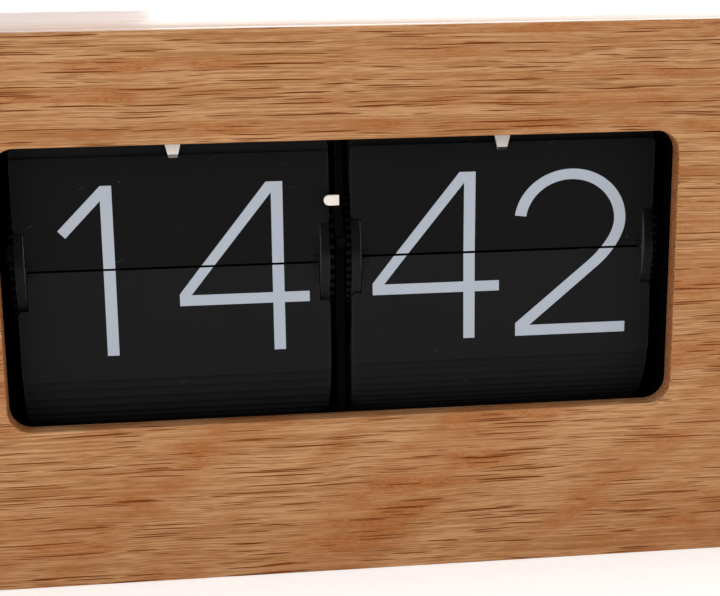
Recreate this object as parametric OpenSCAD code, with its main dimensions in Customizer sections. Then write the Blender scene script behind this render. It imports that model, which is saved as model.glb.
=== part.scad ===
// Flip clock in a long oak box, with an hour display and a minute display behind one window.
// X runs to the right seen from the front, Y to the back and Z up. The origin is at the middle
// of the underside. Every length is in millimetres.

/* [Case] */
// Width of the box
case_w = 360; // [300:1:420]
// Depth of the box
case_d = 85; // [80:1:110]
// Height of the box
case_h = 160; // [150:1:180]
// Thickness of the top, bottom and end boards
board_t = 9; // [6:0.5:12]
// Thickness of the front panel
front_t = 6; // [4:0.5:8]
// Width of the window
window_w = 192.8; // [188:0.2:198]
// Height of the window
window_h = 81.2; // [74:0.2:86]
// Height of the window's lower edge above the underside
window_z = 47.6; // [44:0.2:52]
// Corner radius of the window
window_r = 6.5; // [3:0.5:12]
// Thickness of the rear cover
cover_t = 3; // [2.5:0.1:4]
// Depth of the rear cover below the back edge of the boards
cover_recess = 4; // [3.5:0.1:6]
// Side of the square corner blocks
block_side = 12; // [10:0.5:16]
// Length of the corner blocks from front to back
block_len = 20; // [14:1:30]

/* [Flaps] */
// Width of a flap
card_w = 89.6; // [84:0.2:91]
// Distance between the middles of the two displays
display_pitch = 96; // [95.8:0.1:97]
// Depth of the flaps behind the front of the box
card_recess = 12; // [11:0.1:14]
// Length of a flap from its hinge pins to its free edge
flap_len = 31.2; // [28:0.1:32]
// Thickness of a flap
flap_t = 0.2; // [0.1:0.01:0.21]
// Corner radius at the free edge of a flap
flap_corner_r = 1.6; // [0.5:0.1:4]
// Depth of the notch at the hinge corners of a flap
notch_w = 3.05; // [3.05:0.05:4]
// Length of the notch from the hinge pins
notch_len = 9.9; // [9.9:0.1:12]
// Number of flaps in the minute display
minute_flaps = 60; // [60:12:60]
// Number of flaps in the hour display
hour_flaps = 48; // [48:12:48]
// Gap between the upper and the lower front flap
slit = 0.7; // [0.5:0.05:1.2]
// Angle that the two front flaps lean forward
front_lean = 1.5; // [1:0.1:2]

/* [Drums] */
// Height of the drum axis above the underside
drum_z = 92.85; // [90:0.05:95]
// How far the slit of the hour display lies below the drum axis
hour_slit_drop = 1.35; // [0.8:0.05:1.8]
// Radius of the circle of hinge pins
pin_circle_r = 23; // [22.8:0.1:23.2]
// Radius of a drum wheel
wheel_r = 25; // [24.4:0.1:25.1]
// Thickness of a drum wheel
wheel_t = 2.7; // [2:0.1:2.7]
// Radius of a hinge pin
pin_r = 0.25; // [0.2:0.05:0.25]
// Radius of the head outside the wheel on a hinge pin
pin_head_r = 0.8; // [0.5:0.05:1]
// Length of the head on a hinge pin
pin_head_len = 1.35; // [0.6:0.05:1.4]
// Length of the hinge sleeve at each end of a front flap
knuckle_len = 2.2; // [2:0.1:5]
// Outer radius of the hinge sleeve on a front flap
knuckle_r = 0.56; // [0.55:0.01:0.7]
// Outer radius of a drum's core tube
core_r = 6; // [5:0.1:6.2]
// Radius of the drum shaft
shaft_r = 2; // [1.5:0.1:2.5]
// Radius of the round windows in a drum wheel
wheel_window_r = 4.2; // [3:0.1:5]

/* [Movement frame] */
// Thickness of the base plate
base_t = 2.5; // [2:0.1:4]
// Width of the base plate
base_w = 250; // [240:1:290]
// Thickness of the left and right plates
plate_t = 2; // [1.6:0.1:3]
// Thickness of the centre plate
centre_t = 2.4; // [2:0.1:2.6]
// Height of the top of the side plates above the underside
plate_top_z = 141; // [138:0.5:144]
// Gap between the window's side and the side plates
plate_window_gap = 0.6; // [0.2:0.1:2]
// Gap between the front panel and the side plates
plate_front_gap = 3.5; // [2:0.1:6]
// Gap between the side plates and the rear cover
plate_back_gap = 2.5; // [1:0.1:4]
// Radius of the tie rods
tie_r = 2.5; // [2:0.1:3]
// Height of the top rail above the drum axis, beyond the length of a flap
rail_above_flap = 5.95; // [5.5:0.05:7]
// Height of the top rail
rail_h = 4; // [3:0.1:6]
// Width of the top rail from front to back
rail_d = 7; // [5:0.1:9]

/* [Stop tabs and release lever] */
// Width of a stop tab at the rail
tab_top_w = 5.7; // [4:0.1:8]
// Width of a stop tab at its tip
tab_tip_w = 2.4; // [2:0.1:4]
// Thickness of a stop tab
tab_t = 1.2; // [0.6:0.1:1.4]
// How far a stop tab hangs from the middle of its display towards the centre plate
tab_inset = 0.9; // [0:0.1:3]
// Height of the hour stop tab's tip above the drum axis
hour_tab_rise = 30.6; // [28:0.1:31]
// Height of the minute stop tab's tip above the drum axis
minute_tab_rise = 30; // [28:0.1:32]
// Gap between a stop tab and the upper flap
tab_gap = 0.3; // [0.2:0.05:0.6]
// Length of the bevel at the tip of a stop tab
tab_bevel = 1.2; // [0.5:0.1:2.5]
// Height of the lever tip above the drum axis
lever_tip_rise = 17.4; // [15:0.1:18]
// Height of the lever pivot above the drum axis
lever_pivot_rise = 5.2; // [4:0.1:7]
// Thickness of the lever
lever_t = 1.2; // [0.8:0.1:1.2]
// Width of the lever arm
lever_w = 2.4; // [1.6:0.1:3]
// Length of the lever tip
lever_tip_len = 4.4; // [4:0.1:5]
// Height of the lever tip piece
lever_tip_h = 3; // [2.5:0.1:4]

/* [Gears] */
// Tooth module of every gear
gear_module = 0.8; // [0.78:0.01:0.82]
// Thickness of a gear
gear_t = 3; // [2:0.1:3.4]
// Gap between the two planes of gears
gear_plane_gap = 2; // [1.5:0.1:3]
// Angle of the layshaft below the drums towards the back
lay_angle = 16.2; // [14:0.1:18]
// Radius of a gear stud
stud_r = 2; // [1.5:0.1:2.2]
// Radius of the knurled rim of the setting wheel
setting_rim_r = 18.6; // [17:0.1:19]
// Width of the knurled rim of the setting wheel
setting_rim_w = 6; // [4:0.1:7]

/* [Drive unit] */
// Width of the drive unit from its inner to its outer face
drive_w = 18; // [14:0.5:24]
// Size of the drive unit from front to back
drive_d = 54; // [50:0.5:56]
// Height of the drive unit
drive_h = 36; // [32:0.5:38]
// Height of the drive unit's top above the axis of its pinion
drive_above_axis = 29.1; // [28:0.1:30]
// Wall of the drive unit
drive_wall = 1.6; // [1.2:0.1:2.5]
// Thickness of the drive unit's cover
drive_cover_t = 2; // [1.5:0.1:3]
// Radius of the standoffs that carry the drive unit
standoff_r = 3; // [2.5:0.1:4]

/* [Battery] */
// Radius of the cell
cell_r = 16.5; // [16:0.1:17]
// Length of the cell without its nub
cell_len = 59.5; // [58:0.1:61]
// Radius of the cell's nub
cell_nub_r = 4.5; // [3.5:0.1:5]
// Length of the cell's nub
cell_nub_len = 1.5; // [1:0.1:2]
// Wall of the battery tray
tray_wall = 1.6; // [1.2:0.1:2.5]
// Height of the cell's middle above the underside
cell_z = 78; // [70:0.5:90]
// Distance of the cell's middle from the left end of the box
cell_from_end = 34; // [31:0.5:44]
// Thickness of the battery door
door_t = 2.4; // [2:0.1:2.4]

/* [Fasteners and leads] */
// Radius of the shank of every screw
screw_r = 1.5; // [1.2:0.1:1.8]
// Radius of the head of every screw
screw_head_r = 2.8; // [2.4:0.1:3.4]
// Height of the head of every screw
screw_head_h = 1.6; // [1:0.1:2]
// Length of the shank of every screw
screw_len = 11; // [9:0.5:14]
// Radius of a lead
lead_r = 0.7; // [0.5:0.05:0.9]
// Distance between the two leads
lead_pitch = 2.4; // [2:0.1:3]

/* [Hidden] */

// Roundness of every curved face
$fn = 48;
// Overrun of every cut
cut = 1;
// Radial clearance of a shaft or pin that turns in its seat
running_gap = 0.05;
// Clearance between pieces that move past each other
free_gap = 0.3;
// Radial clearance of a piece that is pressed on
seat_gap = 0.01;

// Case
front_y = -case_d / 2;
back_y = case_d / 2;
panel_in_y = front_y + front_t;
cover_out_y = back_y - cover_recess;
cover_in_y = cover_out_y - cover_t;
inner_x = case_w / 2 - board_t;
inner_top_z = case_h - board_t;

// Flaps and drums
display_x = display_pitch / 2;
drum_y = front_y + card_recess + flap_t / 2 + pin_circle_r;
narrow_x = card_w / 2 - notch_w;
head_x = card_w / 2 + running_gap;
minute_step = 360 / minute_flaps;
hour_step = 360 / hour_flaps;
minute_first = minute_step / 2;
hour_first = hour_step / 2 - asin(hour_slit_drop / pin_circle_r);
// Overlap of a hinge pin with the edge of the flap that it is part of
pin_root = 0.15;

// Movement frame
base_z = board_t;
frame_z = base_z + base_t;
plate_in_x = window_w / 2 + plate_window_gap;
plate_out_x = plate_in_x + plate_t;
plate_front_y = panel_in_y + plate_front_gap;
plate_back_y = cover_in_y - plate_back_gap;
rail_z = drum_z + flap_len + rail_above_flap;
rail_front_y = plate_front_y - (plate_front_y - panel_in_y) / 3;
tie_inset = 8;
rear_tie_drop = 6;
tie_places = [
    [plate_front_y + tie_inset, frame_z + tie_inset],
    [plate_back_y - tie_inset, plate_top_z - rear_tie_drop]
];
lead_slot_w = 10;
lead_slot_h = 5;
lead_y = plate_back_y - 3 * lead_slot_w / 4;
lead_z = frame_z + lead_slot_h / 2;
centre_front_y = front_y + card_recess + 1.5 * tab_t;

// Gears
minute_gear_teeth = 60;
minute_pinion_teeth = 24;
idler_teeth = 60;
layshaft_gear_teeth = 24;
layshaft_pinion_teeth = 12;
reduction_wheel_teeth = 72;
reduction_pinion_teeth = 16;
hour_gear_teeth = 64;
drive_pinion_teeth = 12;
setting_gear_teeth = 16;
tooth_root_share = 0.56;
tooth_pitch_share = 0.4;
tooth_tip_share = 0.2;
addendum_share = 0.85;
dedendum_share = 1.15;
lay_reach_share = 0.99;
drive_pinion_angle = 75;
plane_a_x = plate_out_x + gear_plane_gap;
plane_b_x = plane_a_x + gear_t + gear_plane_gap;
gears_out_x = plane_b_x + gear_t + gear_plane_gap;

// Places in the Y and Z directions of the axes that run along X
drum_axis = [drum_y, drum_z];
lay_reach = lay_reach_share * gear_module / 2
    * (layshaft_pinion_teeth + reduction_wheel_teeth + reduction_pinion_teeth + hour_gear_teeth);
lay_axis = drum_axis + lay_reach * [sin(lay_angle), -cos(lay_angle)];
idler_axis = apex(drum_axis, lay_axis,
    centre_distance(minute_pinion_teeth, idler_teeth),
    centre_distance(idler_teeth, layshaft_gear_teeth), -1);
reduction_axis = apex(drum_axis, lay_axis,
    centre_distance(hour_gear_teeth, reduction_pinion_teeth),
    centre_distance(reduction_wheel_teeth, layshaft_pinion_teeth), -1);
drive_axis = drum_axis + centre_distance(minute_gear_teeth, drive_pinion_teeth)
    * [cos(drive_pinion_angle), sin(drive_pinion_angle)];
setting_axis = drum_axis + [centre_distance(minute_gear_teeth, setting_gear_teeth), 0];

// Turn of each gear that puts its teeth in mesh at rest
idler_phase = mesh_phase(direction(drum_axis, idler_axis), 0, minute_pinion_teeth, idler_teeth);
layshaft_gear_phase = mesh_phase(direction(idler_axis, lay_axis), idler_phase,
    idler_teeth, layshaft_gear_teeth);
reduction_phase = mesh_phase(direction(lay_axis, reduction_axis), 0,
    layshaft_pinion_teeth, reduction_wheel_teeth);
hour_gear_phase = mesh_phase(direction(reduction_axis, drum_axis), 0,
    reduction_pinion_teeth, hour_gear_teeth);
drive_pinion_phase = mesh_phase(direction(drum_axis, drive_axis), 0,
    minute_gear_teeth, drive_pinion_teeth);
setting_phase = mesh_phase(direction(drum_axis, setting_axis), 0,
    minute_gear_teeth, setting_gear_teeth);

// Release lever
lever_y = front_y + card_recess - 2 * lever_t;
lever_pivot_z = drum_z + lever_pivot_rise;
lever_tip_z = drum_z + lever_tip_rise;
lever_pin_r = 0.6;
lever_boss_r = 1.5;
lever_nose_h = 5;
lever_tip_x = -lever_w / 5;
spring_wire_r = 0.25;

// Drive unit
drive_in_x = gears_out_x + setting_rim_w / 2;
drive_front_y = drum_y - drive_d / 3;
drive_z = drive_axis[1] + drive_above_axis - drive_h;
drive_out_x = drive_in_x + drive_w;
standoff_inset = 5;

// Battery
cell_x = -case_w / 2 + cell_from_end;
tray_room = 1;
cell_y = cover_in_y - tray_room - cell_r;
contact_t = 0.5;
contact_room = 4;
tray_in_w = 2 * (cell_r + tray_room);
tray_in_h = cell_len + cell_nub_len + 2 * contact_room;
tray_floor_z = cell_z - tray_in_h / 2;
cell_foot_z = tray_floor_z + contact_room;
door_gap = 0.35;
door_pin_r = 0.8;
door_pin_len = 1.6;
door_w = tray_in_w - 2 * door_gap;
door_h = tray_in_h - 2 * door_gap;
door_pivot_y = cover_in_y + cover_t / 2;
door_pivot_z = tray_floor_z + door_gap + door_t / 2;

// Slot for the setting wheel in the rear cover
setting_rim_x = gears_out_x;
setting_slot_gap = 0.8;
setting_slot_h = 2 * (sqrt(pow(setting_rim_r, 2) - pow(cover_in_y - setting_axis[0], 2))
    + setting_slot_gap);

// Distance between the axes of two gears in mesh
function centre_distance(teeth_a, teeth_b) = gear_module * (teeth_a + teeth_b) / 2;

// Angle of the line from one axis to another, from +Y towards +Z
function direction(a, b) = atan2(b[1] - a[1], b[0] - a[0]);

// Phase of a second gear that puts its gap at the first gear's tooth
function mesh_phase(theta, phase, teeth_a, teeth_b) =
    theta + 180 + ((theta - phase) * teeth_a / 360 - 0.5) * 360 / teeth_b;

// Third corner of the triangle on a and b, at the given distances from them
function apex(a, b, from_a, from_b, hand) =
    let (
        base = norm(b - a),
        along = (from_a * from_a - from_b * from_b + base * base) / (2 * base),
        off = sqrt(from_a * from_a - along * along),
        u = (b - a) / base
    )
    a + u * along + hand * off * [-u[1], u[0]];

// Angle of a flap's hinge pins, from the front over the top
function pin_angle(index, first, step) = first + index * step;

// Place of a flap's hinge pins
function pin_place(angle) = [
    drum_y - pin_circle_r * cos(angle),
    drum_z + pin_circle_r * sin(angle)
];

// Lean of a flap from upright towards the back, at its place on the drum
function flap_lean(index, count, first, step) =
    index == 0 ? -front_lean
    : index == count - 1 ? 180 + front_lean
    : min(pin_angle(index, first, step) - step, 180);

// Length of a flap beyond its hinge pins
function tail_len(step) = pin_circle_r * sin(step / 2) - slit / 2;

// A flat outline in Y and Z, made a plate that starts at x
module along_x(x, thickness) {
    translate([x, 0, 0])
        rotate([90, 0, 90])
            linear_extrude(thickness)
                children();
}

// A flat outline in X and Z, made a plate that starts at y
module along_y(y, thickness) {
    translate([0, y + thickness, 0])
        rotate([90, 0, 0])
            linear_extrude(thickness)
                children();
}

// A round bar along X
module rod_x(place, x0, x1, radius) {
    translate([x0, place[0], place[1]])
        rotate([0, 90, 0])
            cylinder(h = x1 - x0, r = radius);
}

// A round bar along Y
module rod_y(x, z, y0, y1, radius) {
    translate([x, y1, z])
        rotate([90, 0, 0])
            cylinder(h = y1 - y0, r = radius);
}

// A block between two opposite corners
module block(low, high) {
    translate(low)
        cube(high - low);
}

// A rectangle with round corners, its lower left corner at the origin
module round_rect(w, h, r) {
    translate([r, 0])
        square([w - 2 * r, h]);
    translate([0, r])
        square([w, h - 2 * r]);
    for (x = [r, w - r], y = [r, h - r])
        translate([x, y])
            circle(r = r);
}

// Outline of a gear about the origin, a tooth in the middle at the phase
module gear_outline(teeth, phase) {
    pitch_r = gear_module * teeth / 2;
    root_r = pitch_r - dedendum_share * gear_module;
    tip_r = pitch_r + addendum_share * gear_module;
    step = 360 / teeth;
    polygon([
        for (i = [0 : teeth - 1], side = [-1, 1], level = [0, 1, 2])
            let (
                rise = side < 0 ? level : 2 - level,
                r = rise == 0 ? root_r : rise == 1 ? pitch_r : tip_r,
                width_share = rise == 0 ? tooth_root_share
                    : rise == 1 ? tooth_pitch_share : tooth_tip_share,
                a = phase + (i + side * width_share / 2) * step
            )
            r * [cos(a), sin(a)]
    ]);
}

// A gear on an axis along X, with a bore
module gear(axis, x, teeth, phase, bore_r) {
    difference() {
        along_x(x, gear_t)
            translate(axis)
                gear_outline(teeth, phase);
        rod_x(axis, x - cut, x + gear_t + cut, bore_r);
    }
}

// A screw along Y, its head at the back
module screw_y(x, z, seat_y) {
    rod_y(x, z, seat_y - screw_len, seat_y, screw_r);
    difference() {
        rod_y(x, z, seat_y, seat_y + screw_head_h, screw_head_r);
        block([x - screw_head_r, seat_y + screw_head_h / 2, z - screw_r / 3],
            [x + screw_head_r, seat_y + screw_head_h + cut, z + screw_r / 3]);
    }
}

// Case

module case_front_panel() {
    color("burlywood")
        along_y(front_y, front_t)
            difference() {
                translate([-case_w / 2, 0])
                    square([case_w, case_h]);
                translate([-window_w / 2, window_z])
                    round_rect(window_w, window_h, window_r);
            }
}

// Outline of the board at the left end, mitred at both corners
module end_board_outline() {
    polygon([
        [-case_w / 2, 0],
        [-case_w / 2 + board_t, board_t],
        [-case_w / 2 + board_t, case_h - board_t],
        [-case_w / 2, case_h]
    ]);
}

// Outline of the board under the clock, mitred at both corners
module flat_board_outline() {
    polygon([
        [-case_w / 2, 0],
        [case_w / 2, 0],
        [case_w / 2 - board_t, board_t],
        [-case_w / 2 + board_t, board_t]
    ]);
}

module case_left_board() {
    color("burlywood")
        along_y(panel_in_y, case_d - front_t)
            end_board_outline();
}

module case_right_board() {
    color("burlywood")
        mirror([1, 0, 0])
            along_y(panel_in_y, case_d - front_t)
                end_board_outline();
}

module case_top_board() {
    color("burlywood")
        along_y(panel_in_y, case_d - front_t)
            translate([0, case_h])
                mirror([0, 1])
                    flat_board_outline();
}

module case_bottom_board() {
    color("burlywood")
        difference() {
            along_y(panel_in_y, case_d - front_t)
                flat_board_outline();
            base_screw_places()
                translate([0, 0, frame_z - screw_len])
                    cylinder(h = screw_len, r = screw_r);
        }
}

// Middles of the four cover screws
module cover_screw_places() {
    for (x = [-1, 1], z = [board_t + block_side / 2, inner_top_z - block_side / 2])
        translate([x * (inner_x - block_side / 2), 0, z])
            children();
}

module case_corner_blocks() {
    color("tan")
        difference() {
            for (x = [-inner_x, inner_x - block_side], z = [board_t, inner_top_z - block_side])
                block([x, cover_in_y - block_len, z],
                    [x + block_side, cover_in_y, z + block_side]);
            cover_screw_places()
                rod_y(0, 0, cover_out_y - screw_len, cover_in_y + cut, screw_r);
        }
}

// Rear cover

module rear_cover() {
    color("#202020")
        difference() {
            block([-inner_x + free_gap, cover_in_y, board_t + free_gap],
                [inner_x - free_gap, cover_out_y, inner_top_z - free_gap]);
            cover_screw_places()
                rod_y(0, 0, cover_in_y - cut, cover_out_y + cut, screw_r + running_gap);
            block([setting_rim_x - setting_slot_gap, cover_in_y - cut,
                setting_axis[1] - setting_slot_h / 2],
                [setting_rim_x + setting_rim_w + setting_slot_gap, cover_out_y + cut,
                setting_axis[1] + setting_slot_h / 2]);
            block([cell_x - tray_in_w / 2, cover_in_y - cut, tray_floor_z],
                [cell_x + tray_in_w / 2, cover_out_y + cut, tray_floor_z + tray_in_h]);
            rod_x([door_pivot_y, door_pivot_z], cell_x - tray_in_w / 2 - door_pin_len,
                cell_x + tray_in_w / 2 + door_pin_len, door_pin_r + running_gap);
        }
}

module rear_cover_screws() {
    color("silver")
        cover_screw_places()
            screw_y(0, 0, cover_out_y);
}

// Battery

module battery_tray() {
    color("#282828")
        difference() {
            block([cell_x - tray_in_w / 2 - tray_wall, cell_y - cell_r - tray_room - tray_wall,
                tray_floor_z - tray_wall],
                [cell_x + tray_in_w / 2 + tray_wall, cover_in_y,
                tray_floor_z + tray_in_h + tray_wall]);
            block([cell_x - tray_in_w / 2, cell_y - cell_r - tray_room, tray_floor_z],
                [cell_x + tray_in_w / 2, cover_in_y + cut, tray_floor_z + tray_in_h]);
            lead_pair()
                rod_x([0, 0], cell_x + tray_in_w / 2 - cut,
                    cell_x + tray_in_w / 2 + tray_wall + cut, lead_r + running_gap);
        }
}

module battery_door() {
    rib_count = 4;
    rib_w = 1;
    rib_h = 0.6;
    color("#242424") {
        block([cell_x - door_w / 2, door_pivot_y - door_t / 2, door_pivot_z],
            [cell_x + door_w / 2, door_pivot_y + door_t / 2,
            door_pivot_z - door_t / 2 + door_h]);
        rod_x([door_pivot_y, door_pivot_z], cell_x - door_w / 2, cell_x + door_w / 2,
            door_t / 2);
        rod_x([door_pivot_y, door_pivot_z], cell_x - door_w / 2 - door_pin_len,
            cell_x + door_w / 2 + door_pin_len, door_pin_r);
        for (i = [0 : rib_count - 1])
            translate([0, 0, door_pivot_z + door_h - 3 * door_t - 2 * i * rib_w])
                block([cell_x - door_w / 4, door_pivot_y + door_t / 2 - rib_h, 0],
                    [cell_x + door_w / 4, door_pivot_y + door_t / 2 + rib_h, rib_w]);
    }
}

module battery_cell() {
    color("slategray")
        translate([cell_x, cell_y, cell_foot_z]) {
            cylinder(h = cell_len, r = cell_r);
            cylinder(h = cell_len + cell_nub_len, r = cell_nub_r);
        }
}

// A folded strip of spring metal that stands between the tray and the cell
module contact_strip(z0, z1) {
    low = min(z0, z1);
    high = max(z0, z1);
    strip_w = cell_r;
    strip_d = cell_r / 2;
    for (z = [low, high - contact_t])
        block([cell_x - strip_w / 2, cell_y - strip_d, z],
            [cell_x + strip_w / 2, cell_y + strip_d, z + contact_t]);
    block([cell_x - strip_w / 2, cell_y - strip_d - contact_t, low],
        [cell_x + strip_w / 2, cell_y - strip_d, high]);
}

module battery_contacts() {
    color("lightgray") {
        contact_strip(tray_floor_z, cell_foot_z);
        contact_strip(cell_foot_z + cell_len + cell_nub_len, tray_floor_z + tray_in_h);
    }
}

// The places in the tray's side wall where the two leads come out
module lead_pair() {
    for (side = [-1, 1])
        translate([0, lead_y + side * lead_pitch / 2, cell_foot_z])
            children();
}

module battery_leads() {
    color("firebrick")
        for (side = [-1, 1])
            let (
                y = lead_y + side * lead_pitch / 2,
                tray_x = cell_x + tray_in_w / 2 + tray_wall,
                left_x = tray_x + 3 * lead_pitch + side * lead_pitch / 2,
                right_x = drive_in_x + drive_w / 2 - side * lead_pitch / 2,
                high_z = cell_foot_z
            ) {
                rod_x([y, high_z], tray_x - tray_wall, left_x, lead_r);
                translate([left_x, y, lead_z])
                    cylinder(h = high_z - lead_z, r = lead_r);
                rod_x([y, lead_z], left_x, right_x, lead_r);
                translate([right_x, y, lead_z])
                    cylinder(h = drive_z - lead_z, r = lead_r);
                for (corner = [[left_x, high_z], [left_x, lead_z], [right_x, lead_z]])
                    translate([corner[0], y, corner[1]])
                        sphere(r = lead_r);
            }
}

// Movement frame

// Middles of the four base screws
module base_screw_places() {
    screw_inset = 7;
    for (x = [-1, 1], y = [plate_front_y + screw_inset, plate_back_y - 3 * screw_inset])
        translate([x * (base_w / 2 - screw_inset), y, 0])
            children();
}

module base_plate() {
    color("#303030")
        difference() {
            block([-base_w / 2, plate_front_y, base_z], [base_w / 2, plate_back_y, frame_z]);
            base_screw_places()
                translate([0, 0, base_z - cut])
                    cylinder(h = base_t + 2 * cut, r = screw_r + running_gap);
        }
}

module base_screws() {
    color("silver")
        base_screw_places() {
            translate([0, 0, frame_z - screw_len + base_t])
                cylinder(h = screw_len - base_t, r = screw_r);
            translate([0, 0, frame_z])
                cylinder(h = screw_head_h, r = screw_head_r);
        }
}

// Outline of a side plate, with every hole that the two have in common
module side_plate_outline() {
    difference() {
        translate([plate_front_y, frame_z])
            square([plate_back_y - plate_front_y, plate_top_z - frame_z]);
        translate(drum_axis)
            circle(r = core_r + running_gap);
        translate(lay_axis)
            circle(r = shaft_r + running_gap);
        for (place = tie_places)
            translate(place)
                circle(r = tie_r);
        translate([plate_back_y - lead_slot_w, frame_z])
            square([lead_slot_w + cut, lead_slot_h]);
    }
}

module left_plate() {
    color("#303030")
        along_x(-plate_out_x, plate_t)
            side_plate_outline();
}

module right_plate() {
    color("#303030")
        along_x(plate_in_x, plate_t)
            side_plate_outline();
}

// Outline of the centre plate, with the nose that carries the lever
module centre_plate_outline() {
    difference() {
        union() {
            translate([centre_front_y, frame_z])
                square([plate_back_y - centre_front_y, rail_z - frame_z]);
            translate([lever_y + lever_t + free_gap, lever_pivot_z - lever_nose_h / 2])
                square([centre_front_y - lever_y - lever_t, lever_nose_h]);
        }
        translate(drum_axis)
            circle(r = shaft_r);
        translate(lay_axis)
            circle(r = shaft_r + running_gap);
        translate(tie_places[0])
            circle(r = tie_r);
        translate([plate_back_y - lead_slot_w, frame_z])
            square([lead_slot_w + cut, lead_slot_h]);
    }
}

module centre_plate() {
    color("#303030")
        difference() {
            along_x(-centre_t / 2, centre_t)
                centre_plate_outline();
            rod_y(0, lever_pivot_z, lever_y, centre_front_y, lever_pin_r + seat_gap);
        }
}

module tie_rods() {
    color("silver")
        for (place = tie_places)
            rod_x(place, -plate_out_x, plate_out_x, tie_r);
}

module top_rail() {
    color("#303030")
        block([-plate_in_x, rail_front_y, rail_z],
            [plate_in_x, rail_front_y + rail_d, rail_z + rail_h]);
}

// A stop tab that hangs from the rail in front of an upper flap
module stop_tab(x, first, rise) {
    edge_y = pin_place(first)[0] - flap_len * sin(front_lean) - flap_t / 2;
    back = edge_y - tab_gap;
    tip_z = drum_z + rise;
    intersection() {
        along_y(back - tab_t, tab_t)
            polygon([
                [x - tab_tip_w / 2, tip_z],
                [x + tab_tip_w / 2, tip_z],
                [x + tab_top_w / 2, rail_z],
                [x - tab_top_w / 2, rail_z]
            ]);
        along_x(x - tab_top_w, 2 * tab_top_w)
            polygon([
                [back, tip_z],
                [back, rail_z],
                [back - tab_t, rail_z],
                [back - tab_t, tip_z + tab_bevel],
                [back - tab_t / 6, tip_z]
            ]);
    }
}

module hour_stop_tab() {
    color("antiquewhite")
        stop_tab(tab_inset - display_x, hour_first, hour_tab_rise);
}

module minute_stop_tab() {
    color("antiquewhite")
        stop_tab(display_x - tab_inset, minute_first, minute_tab_rise);
}

module drum_shaft() {
    color("silver")
        rod_x(drum_axis, free_gap - plane_b_x, gears_out_x, shaft_r);
}

// Release lever

module release_lever() {
    color("#282828")
        along_y(lever_y, lever_t)
            difference() {
                union() {
                    translate([0, lever_pivot_z])
                        circle(r = lever_boss_r);
                    polygon([
                        [-lever_w / 2, lever_pivot_z],
                        [lever_w / 2, lever_pivot_z],
                        [lever_tip_x, lever_tip_z + lever_tip_h / 2],
                        [lever_tip_x - lever_w, lever_tip_z + lever_tip_h / 2]
                    ]);
                }
                translate([0, lever_pivot_z])
                    circle(r = lever_pin_r + running_gap);
            }
}

module release_lever_tip() {
    color("antiquewhite")
        along_y(lever_y - lever_t, lever_t) {
            translate([lever_tip_x - lever_tip_len + lever_tip_h / 2, lever_tip_z])
                circle(r = lever_tip_h / 2);
            translate([lever_tip_x - lever_tip_len + lever_tip_h / 2,
                lever_tip_z - lever_tip_h / 2])
                square([lever_tip_len - lever_tip_h / 2, lever_tip_h]);
        }
}

module lever_pivot_pin() {
    color("silver") {
        rod_y(0, lever_pivot_z, lever_y - free_gap, centre_front_y, lever_pin_r);
        rod_y(0, lever_pivot_z, lever_y - lever_t + free_gap, lever_y - free_gap,
            lever_boss_r - free_gap);
    }
}

module lever_spring_wire() {
    wire_y = lever_y + lever_t / 2;
    color("silver")
        translate([-lever_w / 2, wire_y, lever_tip_z + lever_tip_h / 2 + free_gap])
            cylinder(h = rail_z - lever_tip_z - lever_tip_h / 2 - free_gap, r = spring_wire_r);
}

// Drums

// One wheel of a drum, from the inner face at x to the outer face
module drum_wheel(x, count, first) {
    step = 360 / count;
    window_count = 6;
    window_place = (core_r + pin_circle_r) / 2;
    difference() {
        rod_x(drum_axis, x, x + wheel_t, wheel_r);
        rod_x(drum_axis, x - cut, x + wheel_t + cut, core_r + seat_gap);
        for (i = [0 : count - 1])
            rod_x(pin_place(pin_angle(i, first, step)), x - cut, x + wheel_t + cut,
                pin_r + running_gap);
        for (i = [0 : window_count - 1])
            rod_x(drum_axis + window_place * [cos(i * 360 / window_count),
                sin(i * 360 / window_count)], x - cut, x + wheel_t + cut, wheel_window_r);
    }
}

// The tube that joins the wheels of a drum and carries its gears, out to x
module drum_core(x) {
    difference() {
        rod_x(drum_axis, centre_t / 2 + free_gap, x, core_r);
        rod_x(drum_axis, 0, x + cut, shaft_r + running_gap);
    }
}

module hour_drum_left_wheel() {
    color("#181818")
        drum_wheel(-display_x - card_w / 2, hour_flaps, hour_first);
}

module hour_drum_right_wheel() {
    color("#181818")
        drum_wheel(-display_x + card_w / 2 - wheel_t, hour_flaps, hour_first);
}

module hour_drum_core() {
    color("#202020")
        mirror([1, 0, 0])
            drum_core(plane_b_x - gear_plane_gap / 2);
}

module hour_gear() {
    color("ivory")
        gear(drum_axis, -plane_a_x - gear_t, hour_gear_teeth, hour_gear_phase,
            core_r + seat_gap);
}

module minute_drum_left_wheel() {
    color("#181818")
        drum_wheel(display_x - card_w / 2, minute_flaps, minute_first);
}

module minute_drum_right_wheel() {
    color("#181818")
        drum_wheel(display_x + card_w / 2 - wheel_t, minute_flaps, minute_first);
}

module minute_drum_core() {
    color("#202020")
        drum_core(gears_out_x - free_gap);
}

module minute_gear() {
    color("ivory")
        gear(drum_axis, plane_a_x, minute_gear_teeth, 0, core_r + seat_gap);
}

module minute_pinion() {
    color("ivory")
        gear(drum_axis, plane_b_x, minute_pinion_teeth, 0, core_r + seat_gap);
}

// Flaps

// A flap that stands up from its hinge pins, which lie at the origin
module flap_sheet(step) {
    tail = tail_len(step);
    rotate([90, 0, 0])
        linear_extrude(flap_t, center = true) {
            translate([-narrow_x, -tail])
                square([2 * narrow_x, notch_len + tail + flap_corner_r]);
            translate([-card_w / 2, notch_len])
                round_rect(card_w, flap_len - notch_len, flap_corner_r);
        }
}

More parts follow.
